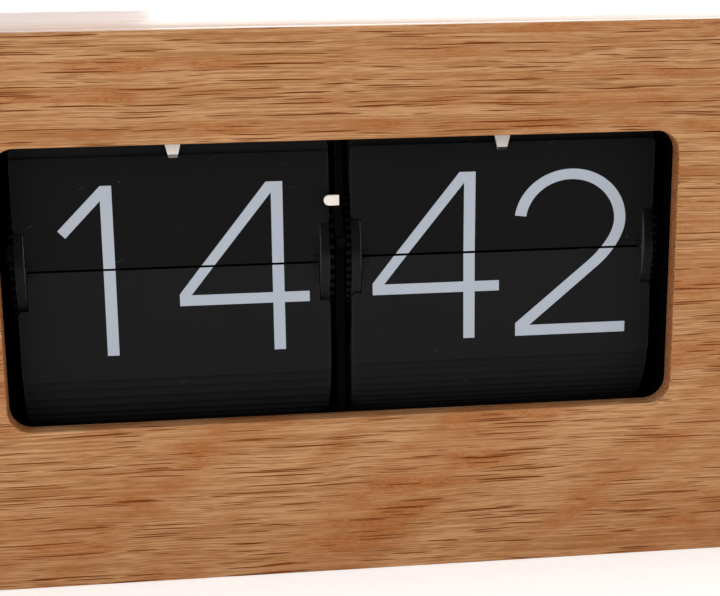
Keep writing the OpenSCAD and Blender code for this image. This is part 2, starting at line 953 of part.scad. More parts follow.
// The two hinge pins of a flap, which start at x and end in heads outside the wheels
module hinge_pins(x) {
    for (side = [0, 1])
        mirror([side, 0, 0]) {
            rod_x([0, 0], x, head_x, pin_r);
            rod_x([0, 0], head_x, head_x + pin_head_len, pin_head_r);
        }
}

// A front flap with a sleeve round each of its hinge pins
module front_flap(step) {
    difference() {
        union() {
            flap_sheet(step);
            for (side = [0, 1])
                mirror([side, 0, 0])
                    rod_x([0, 0], narrow_x - knuckle_len, narrow_x, knuckle_r);
        }
        for (side = [0, 1])
            mirror([side, 0, 0])
                rod_x([0, 0], narrow_x - knuckle_len - free_gap, narrow_x + cut,
                    pin_r + running_gap);
    }
}

// Puts a flap, drawn with its hinge pins at the origin, in its place on a drum
module at_flap(x, index, count, first) {
    step = 360 / count;
    place = pin_place(pin_angle(index, first, step));
    translate([x, place[0], place[1]])
        rotate([-flap_lean(index, count, first, step), 0, 0])
            children();
}

// Every flap of a display but the two at the front, and the pins of all
module flap_pack(x, count, first) {
    step = 360 / count;
    for (i = [1 : count - 2])
        at_flap(x, i, count, first) {
            flap_sheet(step);
            hinge_pins(narrow_x - pin_root);
        }
    for (i = [0, count - 1])
        at_flap(x, i, count, first)
            hinge_pins(narrow_x - knuckle_len);
}

module hour_flap_pack() {
    color("#1c1c1c")
        flap_pack(-display_x, hour_flaps, hour_first);
}

module hour_upper_flap() {
    color("#141414")
        at_flap(-display_x, 0, hour_flaps, hour_first)
            front_flap(hour_step);
}

module hour_lower_flap() {
    color("#141414")
        at_flap(-display_x, hour_flaps - 1, hour_flaps, hour_first)
            front_flap(hour_step);
}

module minute_flap_pack() {
    color("#1c1c1c")
        flap_pack(display_x, minute_flaps, minute_first);
}

module minute_upper_flap() {
    color("#141414")
        at_flap(display_x, 0, minute_flaps, minute_first)
            front_flap(minute_step);
}

module minute_lower_flap() {
    color("#141414")
        at_flap(display_x, minute_flaps - 1, minute_flaps, minute_first)
            front_flap(minute_step);
}

// Gear train

module idler_gear() {
    color("ivory")
        gear(idler_axis, plane_b_x, idler_teeth, idler_phase, stud_r + running_gap);
}

module layshaft() {
    color("silver")
        rod_x(lay_axis, -gears_out_x, gears_out_x, shaft_r);
}

module layshaft_gear() {
    color("ivory")
        gear(lay_axis, plane_b_x, layshaft_gear_teeth, layshaft_gear_phase,
            shaft_r + seat_gap);
}

module layshaft_pinion() {
    color("ivory")
        gear(lay_axis, -plane_b_x - gear_t, layshaft_pinion_teeth, 0, shaft_r + seat_gap);
}

module reduction_gear() {
    hub_r = gear_module * reduction_pinion_teeth / 3;
    color("ivory") {
        gear(reduction_axis, -plane_b_x - gear_t, reduction_wheel_teeth, reduction_phase,
            stud_r + running_gap);
        gear(reduction_axis, -plane_a_x - gear_t, reduction_pinion_teeth, 0,
            stud_r + running_gap);
        difference() {
            rod_x(reduction_axis, -plane_b_x, -plane_a_x - gear_t, hub_r);
            rod_x(reduction_axis, -plane_b_x - cut, -plane_a_x, stud_r + running_gap);
        }
    }
}

module gear_studs() {
    collar_r = 2 * stud_r;
    color("silver") {
        rod_x(idler_axis, plate_out_x, gears_out_x, stud_r);
        rod_x(idler_axis, plate_out_x, plane_b_x - free_gap, collar_r);
        rod_x(reduction_axis, -gears_out_x, -plate_out_x, stud_r);
        rod_x(reduction_axis, -plane_a_x + free_gap, -plate_out_x, collar_r);
    }
}

module setting_wheel() {
    notch_count = 60;
    notch_r = 0.5;
    hub_r = 2.5 * stud_r;
    color("dimgray")
        difference() {
            union() {
                along_x(plane_a_x, gear_t)
                    translate(setting_axis)
                        gear_outline(setting_gear_teeth, setting_phase);
                rod_x(setting_axis, plane_a_x + gear_t, setting_rim_x, hub_r);
                rod_x(setting_axis, setting_rim_x, setting_rim_x + setting_rim_w,
                    setting_rim_r);
            }
            for (i = [0 : notch_count - 1])
                rod_x(setting_axis + setting_rim_r * [cos(i * 360 / notch_count),
                    sin(i * 360 / notch_count)],
                    setting_rim_x - cut, setting_rim_x + setting_rim_w + cut, notch_r);
            rod_x(setting_axis, plane_a_x - cut, setting_rim_x + setting_rim_w + cut,
                stud_r + running_gap);
        }
}

module setting_stud() {
    color("silver") {
        rod_x(setting_axis, plate_out_x, setting_rim_x + setting_rim_w + free_gap, stud_r);
        rod_x(setting_axis, plate_out_x, plane_a_x - free_gap, 2 * stud_r);
        rod_x(setting_axis, setting_rim_x + setting_rim_w + free_gap,
            setting_rim_x + setting_rim_w + 4 * free_gap, 2 * stud_r);
    }
}

// Drive unit

// Middles of the three standoffs
module standoff_places() {
    for (place = [
        [drive_front_y + standoff_inset, drive_z + drive_h - standoff_inset],
        [drive_front_y + drive_d - standoff_inset, drive_z + drive_h - standoff_inset],
        [drive_front_y + drive_d - standoff_inset, drive_z + standoff_inset]
    ])
        translate([0, place[0], place[1]])
            children();
}

module drive_housing() {
    color("whitesmoke")
        difference() {
            union() {
                difference() {
                    block([drive_in_x, drive_front_y, drive_z],
                        [drive_out_x, drive_front_y + drive_d, drive_z + drive_h]);
                    block([drive_in_x + drive_wall, drive_front_y + drive_wall,
                        drive_z + drive_wall],
                        [drive_out_x + cut, drive_front_y + drive_d - drive_wall,
                        drive_z + drive_h - drive_wall]);
                }
                standoff_places()
                    rod_x([0, 0], drive_in_x, drive_out_x, standoff_r);
            }
            rod_x(drive_axis, drive_in_x - cut, drive_in_x + drive_wall + cut,
                stud_r + running_gap);
            standoff_places()
                rod_x([0, 0], drive_in_x + drive_wall, drive_out_x + cut, screw_r);
        }
}

module drive_cover() {
    color("whitesmoke")
        difference() {
            block([drive_out_x, drive_front_y, drive_z],
                [drive_out_x + drive_cover_t, drive_front_y + drive_d, drive_z + drive_h]);
            standoff_places()
                rod_x([0, 0], drive_out_x - cut, drive_out_x + drive_cover_t + cut,
                    screw_r + running_gap);
        }
}

module drive_cover_screws() {
    color("silver")
        standoff_places() {
            rod_x([0, 0], drive_out_x + drive_cover_t - screw_len,
                drive_out_x + drive_cover_t, screw_r);
            rod_x([0, 0], drive_out_x + drive_cover_t,
                drive_out_x + drive_cover_t + screw_head_h, screw_head_r);
        }
}

module drive_standoffs() {
    color("silver")
        standoff_places()
            rod_x([0, 0], plate_out_x, drive_in_x, standoff_r);
}

module drive_coil() {
    coil_r = drive_w / 4;
    flange_t = 1;
    y0 = drive_front_y + drive_wall + free_gap;
    y1 = y0 + drive_d / 3;
    x = drive_in_x + drive_wall + coil_r + 2 * flange_t;
    z = drive_z + drive_h / 3;
    color("chocolate") {
        rod_y(x, z, y0, y1, coil_r);
        rod_y(x, z, y0, y0 + flange_t, coil_r + flange_t);
        rod_y(x, z, y1 - flange_t, y1, coil_r + flange_t);
    }
    color("lightgray")
        block([drive_in_x + drive_wall, y0, z - coil_r / 2],
            [x, y0 + flange_t, z + coil_r / 2]);
}

module drive_circuit_board() {
    board_x = drive_out_x - 2 * drive_wall;
    lap = drive_wall + free_gap;
    color("seagreen")
        difference() {
            block([board_x, drive_front_y + drive_wall, drive_z + drive_wall],
                [board_x + drive_wall, drive_front_y + drive_d - drive_wall,
                drive_z + drive_h - drive_wall]);
            standoff_places()
                rod_x([0, 0], board_x - cut, board_x + drive_wall + cut, standoff_r + seat_gap);
        }
    color("black")
        block([board_x - drive_wall, drive_axis[0] + lap, drive_z + drive_h / 2],
            [board_x, drive_axis[0] + 4 * lap, drive_z + drive_h / 2 + 3 * lap]);
}

module drive_pinion() {
    color("ivory")
        along_x(plane_a_x, gear_t)
            translate(drive_axis)
                gear_outline(drive_pinion_teeth, drive_pinion_phase);
    color("silver") {
        rod_x(drive_axis, plane_a_x + gear_t, drive_in_x + drive_wall, stud_r);
        rod_x(drive_axis, drive_in_x + drive_wall, drive_in_x + 2 * drive_wall, 2 * stud_r);
    }
}

case_front_panel();
case_top_board();
case_bottom_board();
case_left_board();
case_right_board();
case_corner_blocks();
rear_cover();
rear_cover_screws();
battery_tray();
battery_door();
battery_cell();
battery_contacts();
battery_leads();
base_plate();
base_screws();
left_plate();
centre_plate();
right_plate();
tie_rods();
top_rail();
hour_stop_tab();
minute_stop_tab();
drum_shaft();
release_lever();
release_lever_tip();
lever_pivot_pin();
lever_spring_wire();
hour_drum_left_wheel();
hour_drum_right_wheel();
hour_drum_core();
hour_gear();
hour_flap_pack();
hour_upper_flap();
hour_lower_flap();
minute_drum_left_wheel();
minute_drum_right_wheel();
minute_drum_core();
minute_gear();
minute_pinion();
minute_flap_pack();
minute_upper_flap();
minute_lower_flap();
idler_gear();
layshaft();
layshaft_gear();
layshaft_pinion();
reduction_gear();
gear_studs();
setting_wheel();
setting_stud();
drive_housing();
drive_cover();
drive_coil();
drive_circuit_board();
drive_pinion();
drive_standoffs();
drive_cover_screws();
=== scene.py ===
"""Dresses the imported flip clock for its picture.

The case gets oak boards with eased edges, the displays get their printed digits, and the back
gets its screws, marks and cell. Every solid that stays in view gets a procedural finish.
Lengths are in metres, apart from names that end in _mm and the drawings of the digits and the
drums, which are in millimetres.
"""

from __future__ import annotations

import logging
import math
from collections.abc import Iterator, Mapping
from contextlib import contextmanager
from dataclasses import dataclass
from enum import Enum

import bpy
from mathutils import Matrix, Vector


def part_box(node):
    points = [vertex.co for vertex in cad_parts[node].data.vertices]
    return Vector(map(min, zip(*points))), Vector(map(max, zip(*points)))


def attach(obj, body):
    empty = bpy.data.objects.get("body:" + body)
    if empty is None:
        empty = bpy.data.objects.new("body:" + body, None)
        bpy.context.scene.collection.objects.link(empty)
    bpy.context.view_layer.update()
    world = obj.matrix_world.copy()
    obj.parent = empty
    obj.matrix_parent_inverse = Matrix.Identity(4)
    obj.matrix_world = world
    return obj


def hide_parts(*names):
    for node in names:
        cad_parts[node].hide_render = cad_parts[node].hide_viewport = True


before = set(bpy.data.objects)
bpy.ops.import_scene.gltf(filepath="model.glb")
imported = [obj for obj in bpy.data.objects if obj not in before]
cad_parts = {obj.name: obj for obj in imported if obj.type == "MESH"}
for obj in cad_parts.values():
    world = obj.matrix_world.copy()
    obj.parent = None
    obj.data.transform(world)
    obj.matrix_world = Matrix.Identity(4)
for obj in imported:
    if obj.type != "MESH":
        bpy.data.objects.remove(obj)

log = logging.getLogger("flip_clock")

MM = 0.001
Point = tuple[float, float]
Triple = tuple[float, float, float]
Colour = tuple[float, float, float, float]
Node = bpy.types.Node
Piece = bpy.types.Object
Socket = bpy.types.NodeSocket
Sockets = Mapping[str, Socket]


class Body(Enum):
    """The clock's rigid bodies that new pieces ride on."""

    CASE = "movement_and_case"
    MINUTE_FLAP = "minute_falling_flap"
    HOUR_FLAP = "hour_falling_flap"
    LEVER = "hour_release"
    DOOR = "battery_bay_door"


class Side(Enum):
    """The side that an edge faces, by the name of its mask in EdgeMasks."""

    LEFT = "Left"
    RIGHT = "Right"


# Nodes and shared effects


class Tree:
    """Adds nodes to one node tree and joins their sockets."""

    def __init__(self, tree: bpy.types.NodeTree) -> None:
        """Keeps the node tree of a material, a world or a group."""
        self.tree = tree

    def feed(self, socket: Socket, value: object) -> None:
        """Joins an input to another node's output, or sets its plain value.

        Args:
            socket: The input.
            value: An output socket, a number, a colour or a vector.
        """
        if isinstance(value, Socket):
            self.tree.links.new(value, socket)
        else:
            socket.default_value = value

    def add(
        self, kind: str, inputs: Mapping[str | int, object] | None = None, **settings: object
    ) -> Node:
        """Adds one node.

        Args:
            kind: Blender's name of the node type.
            inputs: What its inputs take, by their names or numbers.
            settings: Properties of the node and their values.

        Returns:
            The new node.
        """
        node = self.tree.nodes.new(kind)
        for name, value in settings.items():
            setattr(node, name, value)
        for key, value in (inputs or {}).items():
            self.feed(node.inputs[key], value)
        return node

    def fill(self, node: Node, **values: object) -> None:
        """Feeds several inputs of a node, with underscores for the spaces in their names."""
        for label, value in values.items():
            self.feed(node.inputs[label.replace("_", " ")], value)

    def shade(self, **values: object) -> None:
        """Feeds inputs of the material's Principled shader."""
        self.fill(self.tree.nodes["Principled BSDF"], **values)

    def math(self, operation: str, a: object, b: object = 0.0, c: object = 0.0) -> Socket:
        """Does one sum on two or three numbers or sockets."""
        return self.add("ShaderNodeMath", {0: a, 1: b, 2: c}, operation=operation).outputs[0]

    def times(self, a: object, b: object) -> Socket:
        """Multiplies two numbers or sockets."""
        return self.math("MULTIPLY", a, b)

    def vector(self, operation: str, a: object, b: Triple | Socket = (0.0, 0.0, 0.0)) -> Socket:
        """Does one sum on two places or directions, with a number for a length or a dot product."""
        node = self.add("ShaderNodeVectorMath", {0: a, 1: b}, operation=operation)
        return node.outputs["Value" if operation in ("LENGTH", "DOT_PRODUCT") else "Vector"]

    def fade(self, value: object, low: float, high: float) -> Socket:
        """Turns a number into a smooth mask from 0 at low to 1 at high.

        Args:
            value: The number or socket.
            low: Where the mask is 0.
            high: Where the mask is 1, which may lie below low.

        Returns:
            The mask.
        """
        inputs = {"Value": value, "From Min": min(low, high), "From Max": max(low, high)}
        inputs |= {"To Min": float(low > high), "To Max": float(low <= high)}
        return self.add("ShaderNodeMapRange", inputs, interpolation_type="SMOOTHSTEP").outputs["Result"]

    def blend(self, factor: object, a: object, b: object) -> Socket:
        """Mixes two colours, which the Mix node takes at its inputs 6 and 7 and gives at 2."""
        return self.add("ShaderNodeMix", {0: factor, 6: a, 7: b}, data_type="RGBA").outputs[2]

    def blend_numbers(self, factor: object, a: object, b: object) -> Socket:
        """Mixes two numbers, which the Mix node takes at its inputs 2 and 3 and gives at 0."""
        return self.add("ShaderNodeMix", {0: factor, 2: a, 3: b}, data_type="FLOAT").outputs[0]

    def turn(self, vector: object, turn: Triple, shift: Triple = (0, 0, 0)) -> Socket:
        """Turns a place about X, Y and Z in radians and then moves it."""
        inputs = {"Vector": vector, "Rotation": turn, "Location": shift}
        return self.add("ShaderNodeMapping", inputs).outputs["Vector"]

    def noise(self, vector: object, scale: Triple, detail: float = 2.0, by: object = 1.0) -> Socket:
        """Gives noise of scale cells per metre along X, Y and Z, times by, in detail finer layers."""
        inputs = {"Vector": self.vector("MULTIPLY", vector, scale), "Scale": by, "Detail": detail}
        return self.add("ShaderNodeTexNoise", inputs).outputs[0]

    def cells(self, vector: object, scale: Triple) -> Node:
        """Adds a Voronoi node with that many scattered points per metre along X, Y and Z."""
        inputs = {"Vector": self.vector("MULTIPLY", vector, scale), "Scale": 1.0, "Randomness": 0.95}
        return self.add("ShaderNodeTexVoronoi", inputs)

    def first_channel(self, colour: Socket) -> Socket:
        """Takes the red channel of a colour as a number."""
        return self.add("ShaderNodeSeparateColor", {0: colour}).outputs[0]

    def across(self, vector: Socket) -> Socket:
        """Takes the X of a place or a direction."""
        return self.add("ShaderNodeSeparateXYZ", {0: vector}).outputs["X"]

    def height(self, vector: Socket) -> Socket:
        """Takes the Z of a place or a direction."""
        return self.add("ShaderNodeSeparateXYZ", {0: vector}).outputs["Z"]

    def place(self) -> Socket:
        """Gives the place on the object in its own coordinates."""
        return self.add("ShaderNodeTexCoord").outputs["Object"]

    def facing(self) -> Socket:
        """Gives the direction that the surface faces."""
        return self.add("ShaderNodeNewGeometry").outputs["Normal"]

    def bump(self, height: object, strength: float, depth_mm: float) -> Socket:
        """Turns a height into a normal, where a height of 1 stands for depth_mm."""
        inputs = {"Height": height, "Strength": strength, "Distance": depth_mm * MM}
        return self.add("ShaderNodeBump", inputs).outputs["Normal"]


class Effect:
    """A shader node group with named inputs and outputs, which several finishes use."""

    name = "effect"
    inputs: tuple[tuple[str, str, object], ...] = ()
    outputs: tuple[tuple[str, str], ...] = ()

    def build(self) -> bpy.types.NodeTree:
        """Makes the group once.

        Returns:
            The group, new or made before.
        """
        known = bpy.data.node_groups.get(self.name)
        if known:
            return known
        group = bpy.data.node_groups.new(self.name, "ShaderNodeTree")
        new_socket = group.interface.new_socket
        for label, kind, value in self.inputs:
            socket = new_socket(label, in_out="INPUT", socket_type="NodeSocket" + kind)
            if value is not None:
                socket.default_value = value
        for label, kind in self.outputs:
            new_socket(label, in_out="OUTPUT", socket_type="NodeSocket" + kind)
        tree = Tree(group)
        tree.add("NodeGroupOutput", self.wire(tree, tree.add("NodeGroupInput").outputs))
        return group

    def wire(self, tree: Tree, given: Sockets) -> Sockets:
        """Makes the nodes inside the group."""
        raise NotImplementedError

    def use(self, tree: Tree, **values: object) -> Sockets:
        """Places the group in a material.

        Args:
            tree: The material's tree.
            values: The group's inputs, with underscores for spaces.

        Returns:
            What the group puts out.
        """
        node = tree.add("ShaderNodeGroup", node_tree=self.build())
        tree.fill(node, **values)
        return node.outputs


class OakFigure(Effect):
    """Fibres, dark open pores and red-brown cathedral bands of plain-sawn oak, grown along X."""

    name = "oak_figure"
    inputs = (
        ("Vector", "Vector", None),
        ("Pale", "Color", (0.5, 0.3, 0.15, 1)),
        ("Warm", "Color", (0.4, 0.2, 0.08, 1)),
        ("Red", "Color", (0.4, 0.16, 0.06, 1)),
        ("Pore", "Color", (0.2, 0.07, 0.02, 1)),
    )
    outputs = (("Color", "Color"), ("Roughness", "Float"), ("Height", "Float"), ("Pores", "Float"))
    level_above = 0.078
    slanted_below = 0.042
    slope = math.radians(33)

    @staticmethod
    def bent(tree: Tree, place: Socket) -> Socket:
        """Bends the fibres a little up and down.

        Args:
            tree: The group's tree.
            place: The place in the board.

        Returns:
            The place in a board with straight fibres.
        """
        wave = tree.noise(place, (15, 40, 40)).node.outputs["Color"]
        centred = tree.vector("SUBTRACT", wave, (0.5, 0.5, 0.5))
        small = tree.vector("MULTIPLY", centred, (0.0, 3 * MM, 3 * MM))
        return tree.vector("ADD", place, small)

    @staticmethod
    def fibres(tree: Tree, place: Socket) -> Socket:
        """Lays pale and dark fibres side by side.

        Args:
            tree: The group's tree.
            place: The place in the board.

        Returns:
            A mask that is 1 in the palest fibres.
        """
        fine = tree.noise(place, (18, 3100, 3100), 0.0)
        grain = tree.noise(place, (240, 3000, 3000), 0.0)
        broad = tree.noise(place, (5, 250, 330))
        tone = tree.math("MULTIPLY_ADD", grain, 0.24, tree.times(broad, 0.20))
        return tree.fade(tree.math("MULTIPLY_ADD", fine, 0.56, tone), 0.36, 0.64)

    def bands(self, tree: Tree, place: Socket) -> Socket:
        """Lays the growth bands: level streaks high on the board, slanted cathedrals below.

        Args:
            tree: The group's tree.
            place: The place in the board.

        Returns:
            A mask that is 1 in the middle of a band.
        """
        low_part = tree.fade(tree.height(place), self.level_above, self.slanted_below)
        slanted = tree.noise(tree.turn(place, (0, self.slope, 0), (0.031, 0, 0)), (7, 24, 62), 1.5)
        level = tree.noise(place, (5, 120, 260))
        return tree.fade(tree.blend_numbers(low_part, level, slanted), 0.40, 0.60)

    @staticmethod
    def dashes(tree: Tree, place: Socket, scale: Triple, least: float, most: float) -> Socket:
        """Scatters short dashes along the grain, each with its own length.

        Args:
            tree: The group's tree.
            place: The place in the board.
            scale: Pores per metre along X, Y and Z.
            least: The smallest pore radius as a share of the spacing.
            most: The largest pore radius as a share of the spacing.

        Returns:
            A mask that is 1 in the middle of a pore.
        """
        cells = tree.cells(place, scale)
        chance = tree.first_channel(cells.outputs["Color"])
        radius = tree.math("ADD", tree.times(chance, most - least), least)
        return tree.fade(tree.math("SUBTRACT", radius, cells.outputs["Distance"]), -0.01, 0.05)

    def pores(self, tree: Tree, place: Socket) -> Socket:
        """Opens long and short pores, deeper in some places than in others.

        Args:
            tree: The group's tree.
            place: The place in the board.

        Returns:
            A mask that is 1 in the middle of a deep pore.
        """
        aside = tree.turn(place, (0.5, 0, 0), (0.013, 0.02, 0.03))
        long = self.dashes(tree, place, (16, 1250, 1250), 0.12, 0.30)
        more = self.dashes(tree, aside, (28, 1350, 1350), 0.11, 0.30)
        short = self.dashes(tree, place, (70, 1700, 1700), 0.06, 0.28)
        shown = tree.math("MAXIMUM", tree.math("MAXIMUM", long, more), tree.times(short, 0.5))
        depth = tree.fade(tree.noise(place, (60, 300, 300), 1.0), 0.0, 0.36)
        return tree.times(shown, depth)

    def wire(self, tree: Tree, given: Sockets) -> Sockets:
        """Makes the nodes inside the group.

        Args:
            tree: The group's tree.
            given: The group's inputs.

        Returns:
            The socket for each of the group's outputs.
        """
        place = self.bent(tree, given["Vector"])
        tone = self.fibres(tree, place)
        bands = self.bands(tree, place)
        colour = tree.blend(tone, given["Warm"], given["Pale"])
        colour = tree.blend(tree.times(bands, 0.34), colour, given["Red"])

        patches = tree.fade(tree.noise(place, (60, 220, 220), 3.0), 0.44, 0.66)
        speckle = tree.fade(tree.noise(place, (800, 2800, 2800), 1.0), 0.40, 0.60)
        mottle = tree.times(patches, tree.math("MULTIPLY_ADD", speckle, 0.55, 0.45))
        inside = tree.math("MULTIPLY_ADD", bands, 0.75, 0.15)
        colour = tree.blend(tree.times(mottle, inside), colour, given["Red"])

        pores = self.pores(tree, place)
        rough = tree.math("SUBTRACT", 0.52, tree.times(tone, 0.08))
        return {
            "Color": tree.blend(pores, colour, given["Pore"]),
            "Roughness": tree.math("ADD", rough, tree.times(pores, 0.35)),
            "Height": tree.math("SUBTRACT", tree.times(tone, 0.35), pores),
            "Pores": pores,
        }


class MouldedGrain(Effect):
    """The fine spark-eroded grain and slow mottle of moulded plastic."""

    name = "moulded_grain"
    inputs = (("Vector", "Vector", None), ("Cells", "Float", 2500.0))
    outputs = (("Height", "Float"), ("Mottle", "Float"))

    def wire(self, tree: Tree, given: Sockets) -> Sockets:
        """Makes the nodes inside the group.

        Args:
            tree: The group's tree.
            given: The group's inputs.

        Returns:
            The socket for each of the group's outputs.
        """
        grain = tree.noise(given["Vector"], (1, 1, 1), 3.0, given["Cells"])
        mottle = tree.noise(given["Vector"], (70, 70, 70), 4.0)
        return {"Height": grain, "Mottle": tree.fade(mottle, 0.3, 0.7)}


class EdgeMasks(Effect):
    """A mask along the edges, where handling rubs a surface and where a highlight is painted, and masks
    of edges to either side, which carry painted highlights.
    """

    name = "edge_masks"
    inputs = (("Vector", "Vector", None), ("Breakup", "Float", 400.0), ("Radius", "Float", 0.7 * MM))
    outputs = (("Mask", "Float"), ("Left", "Float"), ("Right", "Float"))

    def wire(self, tree: Tree, given: Sockets) -> Sockets:
        """Makes the nodes inside the group.

        Args:
            tree: The group's tree.
            given: The group's inputs.

        Returns:
            The socket for each of the group's outputs.
        """
        eased = tree.add("ShaderNodeBevel", {"Radius": given["Radius"]}, samples=4).outputs[0]
        edge = tree.fade(tree.vector("DOT_PRODUCT", eased, tree.facing()), 0.995, 0.86)
        patches = tree.noise(given["Vector"], (1, 1, 1), 3.0, given["Breakup"])
        aside = tree.across(eased)
        return {
            "Mask": tree.times(edge, tree.fade(patches, 0.35, 0.65)),
            "Left": tree.fade(aside, -0.12, -0.5),
            "Right": tree.fade(aside, 0.12, 0.5),
        }


class DustSpecks(Effect):
    """A mask of scattered dust specks and a few short fibres."""

    name = "dust_specks"
    inputs = (("Vector", "Vector", None),)
    outputs = (("Mask", "Float"), ("Haze", "Float"))

    def wire(self, tree: Tree, given: Sockets) -> Sockets:
        """Makes the nodes inside the group.

        Args:
            tree: The group's tree.
            given: The group's inputs.

        Returns:
            The socket for each of the group's outputs.
        """
        place = given["Vector"]
        dots = tree.cells(place, (210, 210, 210)).outputs
        rare = tree.fade(tree.first_channel(dots["Color"]), 0.80, 0.95)
        speck = tree.times(tree.fade(dots["Distance"], 0.09, 0.03), rare)
        lines = tree.cells(tree.turn(place, (0, math.radians(24), 0)), (55, 900, 900)).outputs
        scarce = tree.fade(tree.first_channel(lines["Color"]), 0.90, 0.99)
        fibre = tree.times(tree.fade(lines["Distance"], 0.12, 0.05), scarce)
        haze = tree.fade(tree.noise(place, (38, 38, 20), 4.0), 0.35, 0.75)
        return {"Mask": tree.math("MAXIMUM", speck, fibre), "Haze": haze}


class BrushedLines(Effect):
    """Fine drawn lines along one axis of a metal piece."""

    name = "brushed_lines"
    inputs = (("Vector", "Vector", None),)
    outputs = (("Height", "Float"), ("Streak", "Float"))

    def wire(self, tree: Tree, given: Sockets) -> Sockets:
        """Makes the nodes inside the group.

        Args:
            tree: The group's tree.
            given: The group's inputs.

        Returns:
            The socket for each of the group's outputs.
        """
        lines = tree.noise(given["Vector"], (60, 4200, 4200), 3.0)
        cloud = tree.noise(given["Vector"], (120, 120, 120), 3.0)
        return {"Height": lines, "Streak": tree.fade(cloud, 0.3, 0.7)}


OAK = OakFigure()
GRAIN = MouldedGrain()
EDGE_MASKS = EdgeMasks()
DUST = DustSpecks()
LINES = BrushedLines()


# Finishes


def srgb(red: int, green: int, blue: int) -> Colour:
    """Turns a screen colour into the linear colour that Blender's sockets take.

    Args:
        red: Red from 0 to 255.
        green: Green from 0 to 255.
        blue: Blue from 0 to 255.

    Returns:
        The linear colour with alpha 1.
    """

    def linear(value: int) -> float:
        """Turns one channel linear."""
        share = value / 255
        return share / 12.92 if share <= 0.04045 else ((share + 0.055) / 1.055) ** 2.4

    return (linear(red), linear(green), linear(blue), 1.0)


def dimmed(colour: Colour, share: float) -> Colour:
    """Gives a share of a colour's light."""
    return (*(share * channel for channel in colour[:3]), 1.0)


@dataclass(frozen=True)
class Finish:
    """A surface finish, made as a material the first time that it is used."""

    name: str

    def material(self) -> bpy.types.Material:
        """Gives the finish's material.

        Returns:
            The material, made once, with a name that no material of the solids has.
        """
        name = f"dressed_{self.name}"
        known = bpy.data.materials.get(name)
        if known:
            return known
        made = bpy.data.materials.new(name)
        made.use_nodes = True
        self.wire(Tree(made.node_tree))
        return made

    def wire(self, tree: Tree) -> None:
        """Makes the material's nodes."""
        raise NotImplementedError


@dataclass(frozen=True)
class Oak(Finish):
    """Satin-lacquered oak with its grain along the board, thick on the faces that look up."""

    turn: Triple = (0.0, 0.0, 0.0)
    shift: Triple = (0.0, 0.0, 0.0)
    raw: bool = False
    gloss: float = 0.08
    satin: float = 0.22
    pale: Colour = srgb(194, 146, 102)
    warm: Colour = srgb(160, 110, 67)
    red: Colour = srgb(158, 92, 43)
    pore: Colour = srgb(108, 52, 12)
    rubbed_and_highlight: Colour = srgb(206, 164, 120)
    end_grain: Colour = srgb(172, 112, 70)
    end_pore: Colour = srgb(100, 54, 28)

    def wire(self, tree: Tree) -> None:
        """Makes the material's nodes.

        Args:
            tree: The material's tree.
        """
        place = tree.turn(tree.place(), self.turn, self.shift)
        colours = {"Pale": self.pale, "Warm": self.warm, "Red": self.red, "Pore": self.pore}
        figure = OAK.use(tree, Vector=place, **colours)
        edge_mask_set = EDGE_MASKS.use(tree, Vector=place, Breakup=500.0)
        facing = tree.facing()
        along = tree.math("ABSOLUTE", tree.across(tree.turn(facing, self.turn)))
        cut_across = tree.times(tree.fade(along, 0.5, 0.9), 0.8)
        holes = tree.fade(tree.noise(place, (1500, 1800, 1800), 1.0), 0.52, 0.62)
        ends = tree.blend(holes, self.end_grain, self.end_pore)
        shown = tree.blend(cut_across, figure["Color"], ends)
        coat = 0.0
        if not self.raw:
            thick = tree.times(tree.fade(tree.height(facing), 0.5, 0.9), 0.9)
            thin = tree.times(tree.math("SUBTRACT", 1.0, figure["Pores"]), 0.10)
            coat = tree.math("ADD", thick, thin)
        tree.shade(
            # The lighter edge colour is partly rubbed wear and partly a painted highlight along the
            # edges.
            Base_Color=tree.blend(tree.times(edge_mask_set["Mask"], 0.35), shown, self.rubbed_and_highlight),
            Roughness=figure["Roughness"],
            Specular_IOR_Level=self.gloss,
            Coat_Weight=coat,
            Coat_Roughness=self.satin,
            Normal=tree.bump(figure["Height"], 0.3, 0.08),
        )


@dataclass(frozen=True)
class Plastic(Finish):
    """Moulded plastic with a fine grain, mottled gloss and lighter edges, partly rubbed wear and partly
    a painted highlight.

    With a colour for under, the faces that look down are painted that colour as shade.
    """

    colour: Colour = (0.02, 0.02, 0.02, 1.0)
    rubbed_and_highlight: Colour = (0.06, 0.06, 0.06, 1.0)
    roughness: float = 0.5
    specular: float = 0.4
    cells: float = 2500.0
    depth_mm: float = 0.02
    under: Colour | None = None

    def with_painted_light(self, tree: Tree, shown: Socket) -> Socket:
        """Paints shade on the faces that look down.

        Args:
            tree: The material's tree.
            shown: The colour all over.

        Returns:
            The colour with that change.
        """
        if not self.under:
            return shown
        return tree.blend(tree.fade(tree.height(tree.facing()), -0.35, -0.6), shown, self.under)

    def wire(self, tree: Tree) -> None:
        """Makes the material's nodes.

        Args:
            tree: The material's tree.
        """
        place = tree.place()
        grain = GRAIN.use(tree, Vector=place, Cells=self.cells)
        edge_mask_set = EDGE_MASKS.use(tree, Vector=place, Breakup=300.0)
        body = tree.blend(grain["Mottle"], self.colour, dimmed(self.colour, 0.86))
        # The lighter edge colour is partly rubbed wear and partly a painted highlight along the edges.
        shown = tree.blend(tree.times(edge_mask_set["Mask"], 0.5), body, self.rubbed_and_highlight)
        tree.shade(
            Base_Color=self.with_painted_light(tree, shown),
            Roughness=tree.math("MULTIPLY_ADD", grain["Mottle"], 0.12, self.roughness - 0.06),
            Specular_IOR_Level=self.specular,
            Normal=tree.bump(grain["Height"], 0.4, self.depth_mm),
        )


